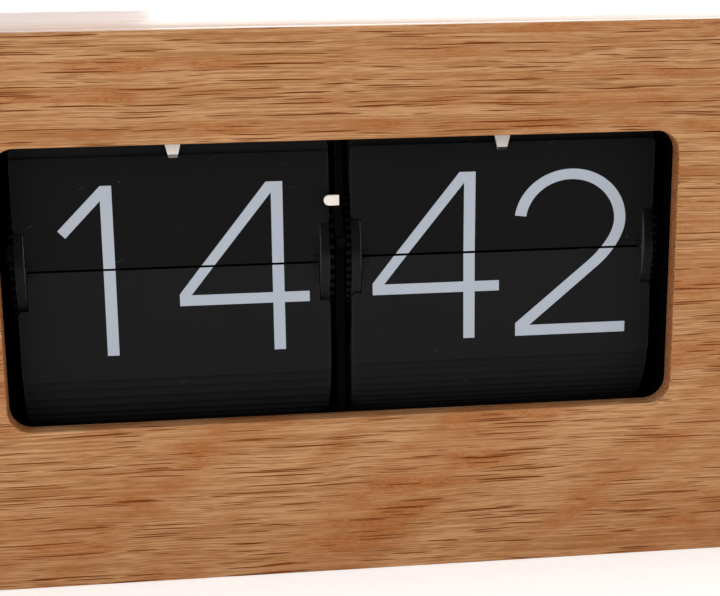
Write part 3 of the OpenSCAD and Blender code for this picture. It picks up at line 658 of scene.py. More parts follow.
@dataclass(frozen=True)
class Rim(Plastic):
    """The black rim of a drum wheel, with painted shade where it faces up and a painted highlight on
    its upper edge beside the flaps.
    """

    colour: Colour = srgb(27, 27, 28)
    rubbed_and_highlight: Colour = srgb(60, 60, 63)
    roughness: float = 0.42
    specular: float = 0.05
    cells: float = 2600.0
    # The upper colour is painted shade on the faces that look up, and the next one a painted highlight
    # on the edge beside the flaps.
    upper: Colour = srgb(7, 7, 8)
    painted_highlight: Colour = srgb(92, 92, 96)
    flaps: Side = Side.RIGHT

    def with_painted_light(self, tree: Tree, shown: Socket) -> Socket:
        """Paints shade on the faces that look up and a highlight on the edge beside the flaps, where
        that edge faces up.

        Args:
            tree: The material's tree.
            shown: The colour all over.

        Returns:
            The colour with both changes.
        """
        rise = tree.height(tree.facing())
        shown = tree.blend(tree.fade(rise, -0.08, 0.14), shown, self.upper)
        edge_mask_set = EDGE_MASKS.use(tree, Vector=tree.place(), Radius=0.3 * MM)
        lit = tree.times(edge_mask_set[self.flaps.value], tree.fade(rise, -0.25, 0.15))
        return tree.blend(lit, shown, self.painted_highlight)


@dataclass(frozen=True)
class Film(Finish):
    """Matt film of a flap or of its print, with dust specks and a faint haze.

    With an edge colour, the film's cut sides show it as a painted highlight, and the hinge pins past
    them are dark.
    """

    colour: Colour = (0.01, 0.01, 0.01, 1.0)
    dusty: Colour = (0.02, 0.02, 0.02, 1.0)
    roughness: float = 0.55
    specular: float = 0.05
    dust: float = 0.3
    edge: Colour | None = None
    speck: Colour = srgb(120, 120, 122)
    pin: Colour = srgb(15, 15, 15)
    display_x: float = 48 * MM
    film_half: float = 44.75 * MM
    pins_from: float = 44.95 * MM

    def edged(self, tree: Tree, place: Socket, shown: Socket) -> Socket:
        """Paints a highlight on the cut sides and colours the pins.

        Args:
            tree: The material's tree.
            place: The place on the flap.
            shown: The colour all over.

        Returns:
            The colour with both changes.
        """
        edge_mask_set = EDGE_MASKS.use(tree, Vector=place, Radius=0.35 * MM)
        shown = tree.blend(tree.math("MAXIMUM", edge_mask_set["Left"], edge_mask_set["Right"]), shown, self.edge)
        off_centre = tree.math("SUBTRACT", tree.math("ABSOLUTE", tree.across(place)), self.display_x)
        pins = tree.fade(tree.math("ABSOLUTE", off_centre), self.film_half, self.pins_from)
        return tree.blend(pins, shown, self.pin)

    def wire(self, tree: Tree) -> None:
        """Makes the material's nodes.

        Args:
            tree: The material's tree.
        """
        place = tree.place()
        specks = DUST.use(tree, Vector=place)
        grain = GRAIN.use(tree, Vector=place, Cells=3800.0)
        body = tree.blend(tree.times(specks["Haze"], 0.30), self.colour, self.dusty)
        shown = tree.blend(tree.times(specks["Mask"], self.dust), body, self.speck)
        tree.shade(
            Base_Color=self.edged(tree, place, shown) if self.edge else shown,
            Roughness=tree.math("MULTIPLY_ADD", specks["Haze"], 0.14, self.roughness - 0.07),
            Specular_IOR_Level=self.specular,
            Normal=tree.bump(grain["Height"], 0.25, 0.01),
        )


@dataclass(frozen=True)
class Metal(Finish):
    """Drawn or plated metal with fine lines."""

    colour: Colour = (0.55, 0.55, 0.55, 1.0)
    roughness: float = 0.28

    def wire(self, tree: Tree) -> None:
        """Makes the material's nodes.

        Args:
            tree: The material's tree.
        """
        lines = LINES.use(tree, Vector=tree.place())
        tree.shade(
            Base_Color=tree.blend(lines["Streak"], self.colour, dimmed(self.colour, 0.72)),
            Roughness=tree.math("MULTIPLY_ADD", lines["Streak"], 0.14, self.roughness - 0.05),
            Metallic=1.0,
            Normal=tree.bump(lines["Height"], 0.25, 0.01),
        )


@dataclass(frozen=True)
class Winding(Finish):
    """Enamelled copper wire wound in close turns along X, with painted shade in the grooves between the
    turns.
    """

    turns_per_metre: float = 2600.0
    # The groove colour is painted shade between the turns.
    groove: Colour = srgb(104, 48, 24)
    wire_top: Colour = srgb(196, 112, 66)

    def wire(self, tree: Tree) -> None:
        """Makes the material's nodes.

        Args:
            tree: The material's tree.
        """
        inputs = {"Vector": tree.place(), "Scale": self.turns_per_metre / 20, "Distortion": 0.3}
        wave = tree.add("ShaderNodeTexWave", inputs, wave_type="BANDS", bands_direction="X")
        turns = wave.outputs["Fac"]
        tree.shade(
            Base_Color=tree.blend(turns, self.groove, self.wire_top),
            Roughness=0.3,
            Metallic=0.8,
            Normal=tree.bump(turns, 0.6, 0.05),
        )


@dataclass(frozen=True)
class Board(Finish):
    """Green solder resist over copper tracks."""

    track: Colour = srgb(24, 92, 48)
    gap: Colour = srgb(16, 66, 36)
    mottled: Colour = srgb(30, 104, 58)

    def wire(self, tree: Tree) -> None:
        """Makes the material's nodes.

        Args:
            tree: The material's tree.
        """
        place = tree.place()
        upright = tree.turn(place, (0, math.radians(90), 0))
        inputs = {"Vector": upright, "Scale": 240.0, "Mortar Size": 0.05}
        tracks = tree.first_channel(tree.add("ShaderNodeTexBrick", inputs, offset=0.5).outputs["Color"])
        grain = GRAIN.use(tree, Vector=place, Cells=900.0)
        base = tree.blend(tree.fade(tracks, 0.2, 0.8), self.track, self.gap)
        tree.shade(
            Base_Color=tree.blend(grain["Mottle"], base, self.mottled),
            Roughness=0.3,
            Normal=tree.bump(tracks, 0.3, 0.03),
        )


@dataclass(frozen=True)
class CellJacket(Finish):
    """The cell's printed jacket: plain grey with a light band round its top end."""

    band_z: float = 0.1
    band_soft: float = 0.1 * MM
    grey: Colour = srgb(62, 68, 76)
    dark: Colour = srgb(54, 60, 68)
    band: Colour = srgb(206, 206, 200)

    def wire(self, tree: Tree) -> None:
        """Makes the material's nodes.

        Args:
            tree: The material's tree.
        """
        place = tree.place()
        top = tree.fade(tree.height(place), self.band_z - self.band_soft, self.band_z + self.band_soft)
        grain = GRAIN.use(tree, Vector=place, Cells=1200.0)
        tree.shade(
            Base_Color=tree.blend(top, tree.blend(grain["Mottle"], self.grey, self.dark), self.band),
            Roughness=0.26,
            Metallic=0.2,
            Normal=tree.bump(grain["Height"], 0.2, 0.02),
        )


QUARTER = math.radians(90)

FACE_OAK = Oak("oak_face")
TOP_OAK = Oak("oak_flat_boards", shift=(0.21, 0.4, 0.33), gloss=0.7, satin=0.20)
END_OAK = Oak("oak_end_boards", turn=(0.0, QUARTER, 0.0), shift=(0.5, 0.2, 0.6))
RAW_OAK = Oak("oak_blocks", turn=(0.0, 0.0, QUARTER), shift=(0.7, 0.1, 0.2), raw=True, gloss=0.1)
COVER_BLACK = Plastic("cover_black", srgb(34, 34, 36), srgb(70, 70, 72), 0.48, 0.42, 1500.0, 0.05)
FRAME_BLACK = Plastic("frame_black", srgb(4, 4, 4), srgb(9, 9, 10), 0.75, 0.02, 2200.0, 0.03)
# The top rail's black is painted lighter and purplish to stand for the sheen it catches: a painted
# sheen.
RAIL_BLACK = Plastic("rail_black", srgb(22, 20, 21), srgb(40, 38, 38), 0.55, 0.10, 2200.0, 0.03)
# The drum cores' light edge colour is a painted highlight along their edges.
DRUM_BLACK = Plastic("drum_black", srgb(18, 18, 19), srgb(84, 84, 88), 0.42, 0.10, 2600.0, 0.02)
LEFT_RIM = Rim("left_rim", flaps=Side.RIGHT)
RIGHT_RIM = Rim("right_rim", flaps=Side.LEFT)
CARD_LOOKS = (0.65, 0.05, 0.16)
# The edge colours of both flap films are painted highlights on the flaps' cut sides.
FLAP_BLACK = Film("flap_black", srgb(16, 16, 16), srgb(22, 22, 22), *CARD_LOOKS, srgb(46, 46, 46))
# The lower flaps and the packs are the same film as the upper flaps, painted lighter because they are
# more brightly lit: painted light.
LOW_FLAP_BLACK = Film(
    "low_flap_black", srgb(24, 24, 24), srgb(31, 31, 31), *CARD_LOOKS, edge=srgb(50, 50, 50)
)
DIGIT_PRINT = Film("digit_print", srgb(175, 182, 193), srgb(165, 172, 183), 0.6, 0.1, 0.08)
DARK_WIRE = Metal("dark_wire", srgb(11, 11, 12), 0.5)
BRIGHT_STEEL = Metal("bright_steel", srgb(200, 200, 202))
CONTACT_METAL = Metal("contact_metal", srgb(206, 203, 194), 0.22)
LEAD_RED = Plastic("lead_red", srgb(150, 26, 20), srgb(170, 60, 50), 0.42, 0.4, 900.0, 0.02)
CREAM_LOOKS = (0.42, 0.4, 1800.0, 0.04)
CREAM = Plastic("cream_plastic", srgb(244, 235, 223), srgb(251, 246, 238), *CREAM_LOOKS)
# The tabs' bevels look down and get painted shade; the minute tab is the same cream, painted darker as
# painted shade.
HOUR_TAB = Plastic(
    "hour_tab", srgb(246, 238, 230), srgb(251, 246, 240), *CREAM_LOOKS, under=srgb(140, 128, 121)
)
MINUTE_TAB = Plastic(
    "minute_tab", srgb(219, 210, 205), srgb(230, 222, 217), *CREAM_LOOKS, under=srgb(34, 31, 29)
)
GEAR_CREAM = Plastic("gear_plastic", srgb(226, 220, 200), srgb(240, 236, 222), 0.4, 0.45, 1600.0, 0.03)
WHEEL_GREY = Plastic("setting_grey", srgb(58, 58, 60), srgb(110, 110, 112), 0.45, 0.4, 1700.0, 0.04)
DRIVE_WHITE = Plastic("drive_white", srgb(226, 226, 222), srgb(240, 240, 238), 0.5, 0.35, 1500.0, 0.04)
MARK_WHITE = Film("mark_white", srgb(214, 214, 210), srgb(190, 190, 188), 0.55, 0.3, 0.2)
COIL_COPPER = Winding("coil_copper")
BOARD_GREEN = Board("board_green")


# Modelling with operators


class Bench:
    """Shapes meshes with Blender's operators, as a modeller does by hand."""

    sharp = math.radians(35)
    least_gap = 0.002 * MM

    @staticmethod
    def pick(*pieces: Piece) -> None:
        """Selects these pieces alone and makes the first one active.

        Args:
            pieces: The pieces.
        """
        bpy.ops.object.select_all(action="DESELECT")
        for piece in pieces:
            piece.select_set(True)
        bpy.context.view_layer.objects.active = pieces[0]

    @staticmethod
    def linked(name: str, data: bpy.types.ID) -> Piece:
        """Puts a mesh, a curve, a lamp or a camera into the scene.

        Args:
            name: The new object's name.
            data: What it shows.

        Returns:
            The new object.
        """
        made = bpy.data.objects.new(name, data)
        bpy.context.scene.collection.objects.link(made)
        return made

    @staticmethod
    @contextmanager
    def opened(piece: Piece) -> Iterator[None]:
        """Opens a piece in edit mode with all of it selected, and closes it again.

        Args:
            piece: The piece.

        Yields:
            Nothing, while the piece is open.
        """
        Bench.pick(piece)
        bpy.ops.object.mode_set(mode="EDIT")
        bpy.ops.mesh.select_all(action="SELECT")
        yield
        bpy.ops.object.mode_set(mode="OBJECT")

    @staticmethod
    def settle(piece: Piece) -> None:
        """Puts a piece's place, turn and size into its mesh."""
        Bench.pick(piece)
        bpy.ops.object.transform_apply(location=True, rotation=True, scale=True)

    @staticmethod
    def smooth(piece: Piece) -> None:
        """Shades a piece smooth apart from its sharp edges."""
        Bench.pick(piece)
        bpy.ops.object.shade_smooth_by_angle(angle=Bench.sharp)

    @staticmethod
    def modify(piece: Piece, kind: str, **settings: object) -> None:
        """Adds a modifier and applies it.

        Args:
            piece: The piece.
            kind: Blender's name of the modifier.
            settings: Properties of the modifier and their values.
        """
        Bench.pick(piece)
        modifier = piece.modifiers.new(kind.lower(), kind)
        for name, value in settings.items():
            setattr(modifier, name, value)
        bpy.ops.object.modifier_apply(modifier=modifier.name)

    @staticmethod
    def ease(piece: Piece, width: float, segments: int = 3) -> None:
        """Rounds a piece's sharp edges and shades the rest smooth.

        Args:
            piece: The piece.
            width: The width of the rounding.
            segments: Faces across the rounding.
        """
        size = {"width": width, "segments": segments, "use_clamp_overlap": True}
        Bench.modify(piece, "BEVEL", limit_method="ANGLE", angle_limit=Bench.sharp, **size)
        Bench.smooth(piece)

    @staticmethod
    def clean(piece: Piece, flat: bool = False) -> None:
        """Merges a piece's doubles and points its faces outwards.

        Args:
            piece: The piece.
            flat: Whether triangles that lie in one plane are joined.
        """
        Bench.pick(piece)
        if piece.data.has_custom_normals:
            bpy.ops.mesh.customdata_custom_splitnormals_clear()
        with Bench.opened(piece):
            bpy.ops.mesh.remove_doubles(threshold=Bench.least_gap)
            if flat:
                bpy.ops.mesh.dissolve_limited(angle_limit=math.radians(0.2))
            bpy.ops.mesh.normals_make_consistent(inside=False)

    @staticmethod
    def softened(node: str, name: str, width: float, segments: int = 3) -> Piece:
        """Makes a copy of a solid with rounded edges.

        Args:
            node: The CAD node.
            name: The new piece's name.
            width: The width of the rounding.
            segments: Faces across the rounding.

        Returns:
            The new piece.
        """
        piece = Bench.linked(name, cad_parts[node].data.copy())
        Bench.clean(piece, flat=True)
        Bench.ease(piece, width, segments)
        return piece

    @staticmethod
    def block(name: str, low: Triple, high: Triple) -> Piece:
        """Makes a block between two corners.

        Args:
            name: The piece's name.
            low: Its lowest corner.
            high: Its highest corner.

        Returns:
            The block.
        """
        bpy.ops.object.select_all(action="DESELECT")
        centre = [(a + b) / 2 for a, b in zip(low, high)]
        bpy.ops.mesh.primitive_cube_add(size=1, location=centre)
        piece = bpy.context.active_object
        piece.name = name
        piece.scale = [b - a for a, b in zip(low, high)]
        Bench.settle(piece)
        return piece

    @staticmethod
    def turned(name: str, profile: list[Point], place: Triple, axis: Triple, steps: int) -> Piece:
        """Turns a profile round an axis, as on a lathe.

        Args:
            name: The piece's name.
            profile: Radius and height of each point, from one end on the axis to the other.
            place: Where the height is 0.
            axis: The direction of the height.
            steps: Faces round the piece.

        Returns:
            The turned piece.
        """
        mesh = bpy.data.meshes.new(name)
        points = [(radius, 0.0, height) for radius, height in profile]
        mesh.from_pydata(points, [(i, i + 1) for i in range(len(points) - 1)], [])
        piece = Bench.linked(name, mesh)
        with Bench.opened(piece):
            bpy.ops.mesh.spin(steps=steps, angle=math.tau, center=(0, 0, 0), axis=(0, 0, 1))
        Bench.clean(piece)
        turn = Vector((0, 0, 1)).rotation_difference(Vector(axis)).to_matrix().to_4x4()
        piece.matrix_world = Matrix.Translation(place) @ turn
        Bench.settle(piece)
        Bench.smooth(piece)
        return piece

    @staticmethod
    def plate(name: str, loops: list[list[Point]], thickness: float) -> Piece:
        """Makes a flat plate from closed outlines, the later ones holes in the first.

        Args:
            name: The piece's name.
            loops: The outlines, as points across and up.
            thickness: The thickness, half on each side of the plane.

        Returns:
            The plate, standing in X and Z with its middle at Y 0.
        """
        curve = bpy.data.curves.new(name, "CURVE")
        curve.dimensions = "2D"
        curve.fill_mode = "BOTH"
        curve.extrude = thickness / 2
        for loop in loops:
            spline = curve.splines.new("POLY")
            spline.points.add(len(loop) - 1)
            for point, (across, up) in zip(spline.points, loop):
                point.co = (across, up, 0.0, 1.0)
            spline.use_cyclic_u = True
        Bench.pick(Bench.linked(name, curve))
        bpy.ops.object.convert(target="MESH")
        piece = bpy.context.active_object
        piece.rotation_euler = (QUARTER, 0, 0)
        Bench.settle(piece)
        Bench.clean(piece)
        return piece

    @staticmethod
    def cut(piece: Piece, height: float, keep_above: bool) -> None:
        """Cuts a piece along a level plane and caps the cut.

        Args:
            piece: The piece.
            height: The height of the plane.
            keep_above: Whether the upper part stays.
        """
        plane = {"plane_co": (0, 0, height), "plane_no": (0, 0, 1), "use_fill": True}
        with Bench.opened(piece):
            bpy.ops.mesh.bisect(clear_inner=keep_above, clear_outer=not keep_above, **plane)

    @staticmethod
    def carve(piece: Piece, tool: Piece) -> None:
        """Takes one piece's shape out of another and deletes the tool."""
        Bench.modify(piece, "BOOLEAN", operation="DIFFERENCE", solver="EXACT", object=tool)
        bpy.data.objects.remove(tool)

    @staticmethod
    def joined(name: str, pieces: list[Piece]) -> Piece:
        """Joins several meshes into one piece.

        Args:
            name: The piece's name.
            pieces: The meshes.

        Returns:
            The joined piece.
        """
        Bench.pick(*pieces)
        bpy.ops.object.join()
        piece = bpy.context.active_object
        piece.name = name
        return piece


def dress(piece: Piece, finish: Finish) -> None:
    """Gives a piece one finish all over."""
    piece.data.materials.clear()
    piece.data.materials.append(finish.material())


def hand_over(piece: Piece, body: Body, slot: str | None, finish: Finish, *nodes: str) -> None:
    """Dresses a finished piece, lets it ride on its body and reports it.

    Args:
        piece: The piece.
        body: The body that it moves with.
        slot: Not used.
        finish: Its finish.
        nodes: The CAD nodes that it stands for.
    """
    dress(piece, finish)
    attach(piece, body.value)
    if nodes:
        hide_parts(*nodes)
    log.info("%s rides on %s", piece.name, body.value)


# The clock's sub-assemblies


@dataclass
class Case:
    """The oak box."""

    outer_ease: float = 0.7 * MM
    panel_ease: float = 0.45 * MM

    def build(self) -> None:
        """Makes the five boards with eased edges and dresses the blocks."""
        boards = {
            "case_front_panel": (FACE_OAK, self.panel_ease),
            "case_top_board": (TOP_OAK, self.outer_ease),
            "case_bottom_board": (TOP_OAK, self.outer_ease),
            "case_left_board": (END_OAK, self.outer_ease),
            "case_right_board": (END_OAK, self.outer_ease),
        }
        for node, (finish, width) in boards.items():
            piece = Bench.softened(node, node.replace("case_", "oak_"), width)
            hand_over(piece, Body.CASE, "oak", finish, node)
        dress(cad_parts["case_corner_blocks"], RAW_OAK)


@dataclass(frozen=True)
class Glyph:
    """One digit as closed outlines in millimetres, across and up the display."""

    loops: tuple[tuple[Point, ...], ...]

    def moved(self, across: float, up: float) -> Glyph:
        """Gives the digit that many millimetres further to the right and further up."""
        return Glyph(tuple(tuple((x + across, z + up) for x, z in loop) for loop in self.loops))


@dataclass(frozen=True)
class Lettering:
    """The light, plain digits of the displays, 50 mm high."""

    base: float = 66.1
    top: float = 116.0
    stem: float = 3.35
    bar: float = 3.1

    @staticmethod
    def bow(start: Point, pull_a: Point, pull_b: Point, end: Point, steps: int = 14) -> list[Point]:
        """Draws a smooth bend.

        Args:
            start: The first point.
            pull_a: The point that the bend sets off towards.
            pull_b: The point that the bend comes in from.
            end: The last point.
            steps: Points along the bend.

        Returns:
            The points after the first one.
        """
        points = []
        for i in range(1, steps + 1):
            t = i / steps
            parts = ((1 - t) ** 3, 3 * t * (1 - t) ** 2, 3 * t * t * (1 - t), t**3)
            four = (start, pull_a, pull_b, end)
            points.append(tuple(sum(w * p[k] for w, p in zip(parts, four)) for k in (0, 1)))
        return points

    @staticmethod
    def oval(centre: Point, reach: Point, first: float, last: float, steps: int = 44) -> list[Point]:
        """Draws part of an oval.

        Args:
            centre: The middle.
            reach: The half width and the half height.
            first: The first angle in degrees.
            last: The last angle in degrees.
            steps: Parts that it is drawn in.

        Returns:
            The points from the first angle to the last.
        """
        angles = [math.radians(first + (last - first) * i / steps) for i in range(steps + 1)]
        (x, z), (wide, high) = centre, reach
        return [(x + wide * math.cos(a), z + high * math.sin(a)) for a in angles]

    def one(self) -> Glyph:
        """Draws the 1, its stem's right edge at 0.

        Returns:
            The digit.
        """
        right, left = 0.0, -self.stem
        loop = (
            (right, self.top),
            (right - 3.2, self.top),
            (right - 15.7, self.top - 12.7),
            (right - 13.6, self.top - 14.9),
            (left, self.top - 4.3),
            (left, self.base),
            (right, self.base),
        )
        return Glyph((loop,))

    def four(self) -> Glyph:
        """Draws the 4, its stem's right edge at 0.

        Returns:
            The digit.
        """
        right, left, far = 0.0, -self.stem, -30.3
        bar_low = self.base + 14.1
        bar_high = bar_low + self.bar
        outer = (
            (right, self.top),
            (right - 4.75, self.top),
            (far, bar_high + 0.35),
            (far, bar_low),
            (left, bar_low),
            (left, self.base),
            (right, self.base),
            (right, bar_low),
            (right + 7.3, bar_low),
            (right + 7.3, bar_high),
            (right, bar_high),
        )
        hole = ((left, bar_high), (far + 3.4, bar_high), (left, self.top - 3.15))
        return Glyph((outer, hole))

    def two(self) -> Glyph:
        """Draws the 2, its base's left edge at 0.

        Returns:
            The digit.
        """
        base, middle_z = self.base, self.top - 15.45
        base_top = base + self.bar + 0.1
        outer = self.oval((16.1, middle_z), (16.7, 15.45), 172.5, 0.0)
        inner = self.oval((16.1, middle_z), (13.3, 12.35), 0.0, 172.5)
        down = self.bow(outer[-1], (32.8, middle_z - 5.2), (28.65, base + 23.7), (25.05, base + 20.7))
        foot = [(4.25, base_top), (33.4, base_top), (33.4, base), (0.0, base), (0.0, base + 3.9)]
        up = self.bow((21.1, base + 21.5), (26.1, base + 25.6), (29.4, middle_z - 4.0), inner[0])
        return Glyph((tuple(outer + down + foot + up + inner[1:]),))


@dataclass(frozen=True)
class FlapFace:
    """One printed face of a flap: its hinge line, its lean and the side that carries the print."""

    hinge_y: float
    hinge_z: float
    upward: bool
    lean_deg: float = 1.5
    to_front: bool = True

    def lay(self, piece: Piece, drawn_from: float, drawn_up: bool, gap: float) -> None:
        """Lays a flat print on the face.

        Args:
            piece: The print, standing upright in X and Z.
            drawn_from: The height of the hinge line in the print's drawing.
            drawn_up: Whether the print is drawn upwards from the hinge line.
            gap: The distance of the print's middle from the middle of the flap.
        """
        lean = math.radians(self.lean_deg)
        up = 1.0 if self.upward else -1.0
        along = Vector((0, -math.sin(lean), up * math.cos(lean)))
        out = Vector((0, -math.cos(lean), -up * math.sin(lean)))
        if not self.to_front:
            out = -out
        for vertex in piece.data.vertices:
            reach = vertex.co.z - drawn_from if drawn_up else drawn_from - vertex.co.z
            depth = gap - vertex.co.y if self.to_front else gap + vertex.co.y
            hinge = Vector((vertex.co.x, self.hinge_y, self.hinge_z))
            vertex.co = hinge + along * reach + out * depth


@dataclass
class Display:
    """The print on one display's flaps.

    Its drum's pins turn on a circle, and the slit between the two front flaps lies slit_drop below
    the drum's axis.
    """

    name: str
    body: Body
    count: int
    slit_drop: float
    glyphs: tuple[Glyph, ...]
    reverse: tuple[Glyph, ...]
    drum: Point = (-7.4, 92.85)
    pin_circle: float = 23.0
    flap_t: float = 0.2 * MM
    print_t: float = 0.03 * MM
    print_gap: float = 0.005 * MM

    def pin(self, index: int) -> Point:
        """Gives the Y and Z of a flap's hinge pins.

        Args:
            index: The flap's number, from the upper front flap over the top.

        Returns:
            The place in metres.
        """
        first = 180 / self.count - math.degrees(math.asin(self.slit_drop / self.pin_circle))
        angle = math.radians(first + index * 360 / self.count)
        y, z = self.drum
        return (
            (y - self.pin_circle * math.cos(angle)) * MM,
            (z + self.pin_circle * math.sin(angle)) * MM,
        )

    def half(self, name: str, glyphs: tuple[Glyph, ...], upper: bool, split: float) -> Piece:
        """Makes one half of the digits as a thin upright print.

        Args:
            name: The piece's name.
            glyphs: The digits.
            upper: Whether it is the upper half.
            split: The height of the flap's edge at the slit.

        Returns:
            The print.
        """
        parts = []
        for glyph in glyphs:
            loops = [[(x * MM, z * MM) for x, z in loop] for loop in glyph.loops]
            part = Bench.plate(name, loops, self.print_t)
            Bench.cut(part, split, keep_above=upper)
            parts.append(part)
        return Bench.joined(name, parts)

    def build(self) -> None:
        """Prints the front flaps, the fallen flap's other side and the flap under it."""
        upper_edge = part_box(f"{self.name}_upper_flap")[0].z
        lower_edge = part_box(f"{self.name}_lower_flap")[1].z
        top_pin, low_pin, next_pin = self.pin(0), self.pin(self.count - 1), self.pin(self.count - 2)
        gap = (self.flap_t + self.print_t) / 2 + self.print_gap
        upper_front = FlapFace(*top_pin, upward=True)
        lower_front = FlapFace(*low_pin, upward=False)
        lower_back = FlapFace(*low_pin, upward=False, to_front=False)
        next_front = FlapFace(*next_pin, upward=False, lean_deg=0.0)
        prints = (
            ("print_upper", self.glyphs, True, top_pin, upper_front, Body.CASE),
            ("print_lower", self.glyphs, False, low_pin, lower_front, self.body),
            ("print_reverse", self.reverse, True, top_pin, lower_back, self.body),
            ("print_below", self.reverse, False, low_pin, next_front, Body.CASE),
        )
        for label, glyphs, upper, drawn, face, body in prints:
            edge = upper_edge if upper else lower_edge
            piece = self.half(f"{self.name}_{label}", glyphs, upper, edge)
            face.lay(piece, drawn[1], upper, gap)
            Bench.clean(piece)
            hand_over(piece, body, None, DIGIT_PRINT)


@dataclass
class Trim:
    """The small light pieces in front of the displays."""

    ease: float = 0.18 * MM

    def build(self) -> None:
        """Rounds the stop tabs and the lever's tip."""
        for node, finish in (("hour_stop_tab", HOUR_TAB), ("minute_stop_tab", MINUTE_TAB)):
            piece = Bench.softened(node, node + "_moulded", self.ease, 2)
            hand_over(piece, Body.CASE, "cream_plastic", finish, node)
        tip = Bench.softened("release_lever_tip", "lever_tip_moulded", self.ease, 2)
        hand_over(tip, Body.LEVER, "cream_plastic", CREAM, "release_lever_tip")


@dataclass
class Back:
    """The rear cover with its screws, door, marks and cell."""

    cover_ease: float = 0.5 * MM
    head_r: float = 2.8 * MM
    head_h: float = 1.6 * MM
    shank_r: float = 1.5 * MM
    point_h: float = 1 * MM
    slot_half: float = 0.5 * MM
    slot_deep: float = 0.8 * MM
    cell_r: float = 16.5 * MM
    cell_h: float = 59.5 * MM
    cell_rim: float = 0.7 * MM
    nub_r: float = 4.5 * MM
    nub_h: float = 1.5 * MM
    band_share: float = 0.78
    door_ease: float = 0.25 * MM
    mark_t: float = 0.3 * MM
    mark_ease: float = 0.08 * MM
    wheel_gap: float = 7 * MM
    door_gap: float = 6 * MM

    def screw(self, name: str, x: float, z: float, seat: float, tip: float) -> Piece:
        """Makes one slotted screw with a domed head.

        Args:
            name: The piece's name.
            x: Its place across.
            z: Its height.
            seat: The Y of the face under the head.
            tip: The Y of the shank's end.

        Returns:
            The screw.
        """
        r, h, s = self.head_r, self.head_h, self.shank_r
        end = tip - seat
        profile = [(0.0, end), (0.55 * s, end), (s, end + self.point_h), (s, 0.0), (r, 0.0)]
        profile += [(r, 0.45 * h), (0.93 * r, 0.68 * h), (0.76 * r, 0.86 * h), (0.45 * r, 0.97 * h)]
        profile += [(0.0, h)]
        screw = Bench.turned(name, profile, (x, seat, z), (0, 1, 0), steps=40)
        low = (x - r, seat + h - self.slot_deep, z - self.slot_half)
        high = (x + r, seat + 2 * h, z + self.slot_half)
        Bench.carve(screw, Bench.block("slot", low, high))
        Bench.clean(screw)
        return screw

    def screws(self) -> None:
        """Makes the four screws that hold the cover."""
        low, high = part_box("rear_cover_screws")
        seat = high.y - self.head_h
        parts = []
        for x in (low.x + self.head_r, high.x - self.head_r):
            for z in (low.z + self.head_r, high.z - self.head_r):
                parts.append(self.screw("screw", x, z, seat, low.y))
        piece = Bench.joined("cover_screws_slotted", parts)
        Bench.smooth(piece)
        hand_over(piece, Body.CASE, "steel", BRIGHT_STEEL, "rear_cover_screws")

    def cell(self) -> None:
        """Makes the cell with its crimped rims and steel nub."""
        low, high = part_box("battery_cell")
        x, y = (low.x + high.x) / 2, (low.y + high.y) / 2
        r, h, n, rim = self.cell_r, self.cell_h, self.nub_r, self.cell_rim
        top = h + self.nub_h
        foot = ((-3, 0), (-2.4, 0.9), (-1.6, 0.9), (-1, 0), (-0.3, 0.3), (0, 1))
        crimp = ((0, -1), (-0.3, -0.3), (-1, 0), (-1.8, -0.2), (-2.4, -1))
        profile = [(0.0, 0.0), *((r + a * rim, b * rim) for a, b in foot)]
        profile += [(r + a * rim, h + b * rim) for a, b in crimp]
        profile += [(n + rim, h - rim), (n, h - 0.6 * rim), (n, top - 0.4 * rim)]
        profile += [(n - 0.4 * rim, top), (0.0, top)]
        piece = Bench.turned("cell_jacketed", profile, (x, y, low.z), (0, 0, 1), steps=72)
        jacket = CellJacket("cell_jacket", band_z=low.z + self.band_share * h)
        hand_over(piece, Body.CASE, "cell_jacket", jacket, "battery_cell")
        piece.data.materials.append(BRIGHT_STEEL.material())
        for face in piece.data.polygons:
            from_axis = math.hypot(face.center.x - x, face.center.y - y)
            face.material_index = 1 if from_axis < r - 1.5 * rim else 0

    def marks(self) -> None:
        """Raises the setting arrow and the door's arrow on the cover."""
        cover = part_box("rear_cover")[1].y
        wheel_low, wheel_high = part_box("setting_wheel")
        x = wheel_high.x + self.wheel_gap
        z = (wheel_low.z + wheel_high.z) / 2
        half, head, wing = 7 * MM, 4 * MM, 2.6 * MM
        bar = 0.7 * MM
        arrow = [(-bar, -half), (bar, -half), (bar, half - head), (wing, half - head), (0.0, half)]
        arrow += [(-wing, half - head), (-bar, half - head)]
        door_low, door_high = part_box("battery_door")
        door_x = (door_low.x + door_high.x) / 2
        door_z = door_high.z + self.door_gap
        small = [(0.6 * across, -0.5 * up) for across, up in arrow]
        parts = []
        for loop, px, pz in ((arrow, x, z), (small, door_x, door_z)):
            part = Bench.plate("arrow", [loop], self.mark_t)
            part.location = (px, cover + self.mark_t / 2, pz)
            Bench.settle(part)
            parts.append(part)
        piece = Bench.joined("cover_arrows", parts)
        Bench.ease(piece, self.mark_ease, 1)
        hand_over(piece, Body.CASE, "moulded_black", MARK_WHITE)

    def build(self) -> None:
        """Makes the cover, the door and what they hold."""
        cover = Bench.softened("rear_cover", "cover_moulded", self.cover_ease, 2)
        hand_over(cover, Body.CASE, "moulded_black", COVER_BLACK, "rear_cover")
        door = Bench.softened("battery_door", "door_moulded", self.door_ease, 2)
        hand_over(door, Body.DOOR, "moulded_black", COVER_BLACK, "battery_door")
        self.screws()
        self.cell()
        self.marks()


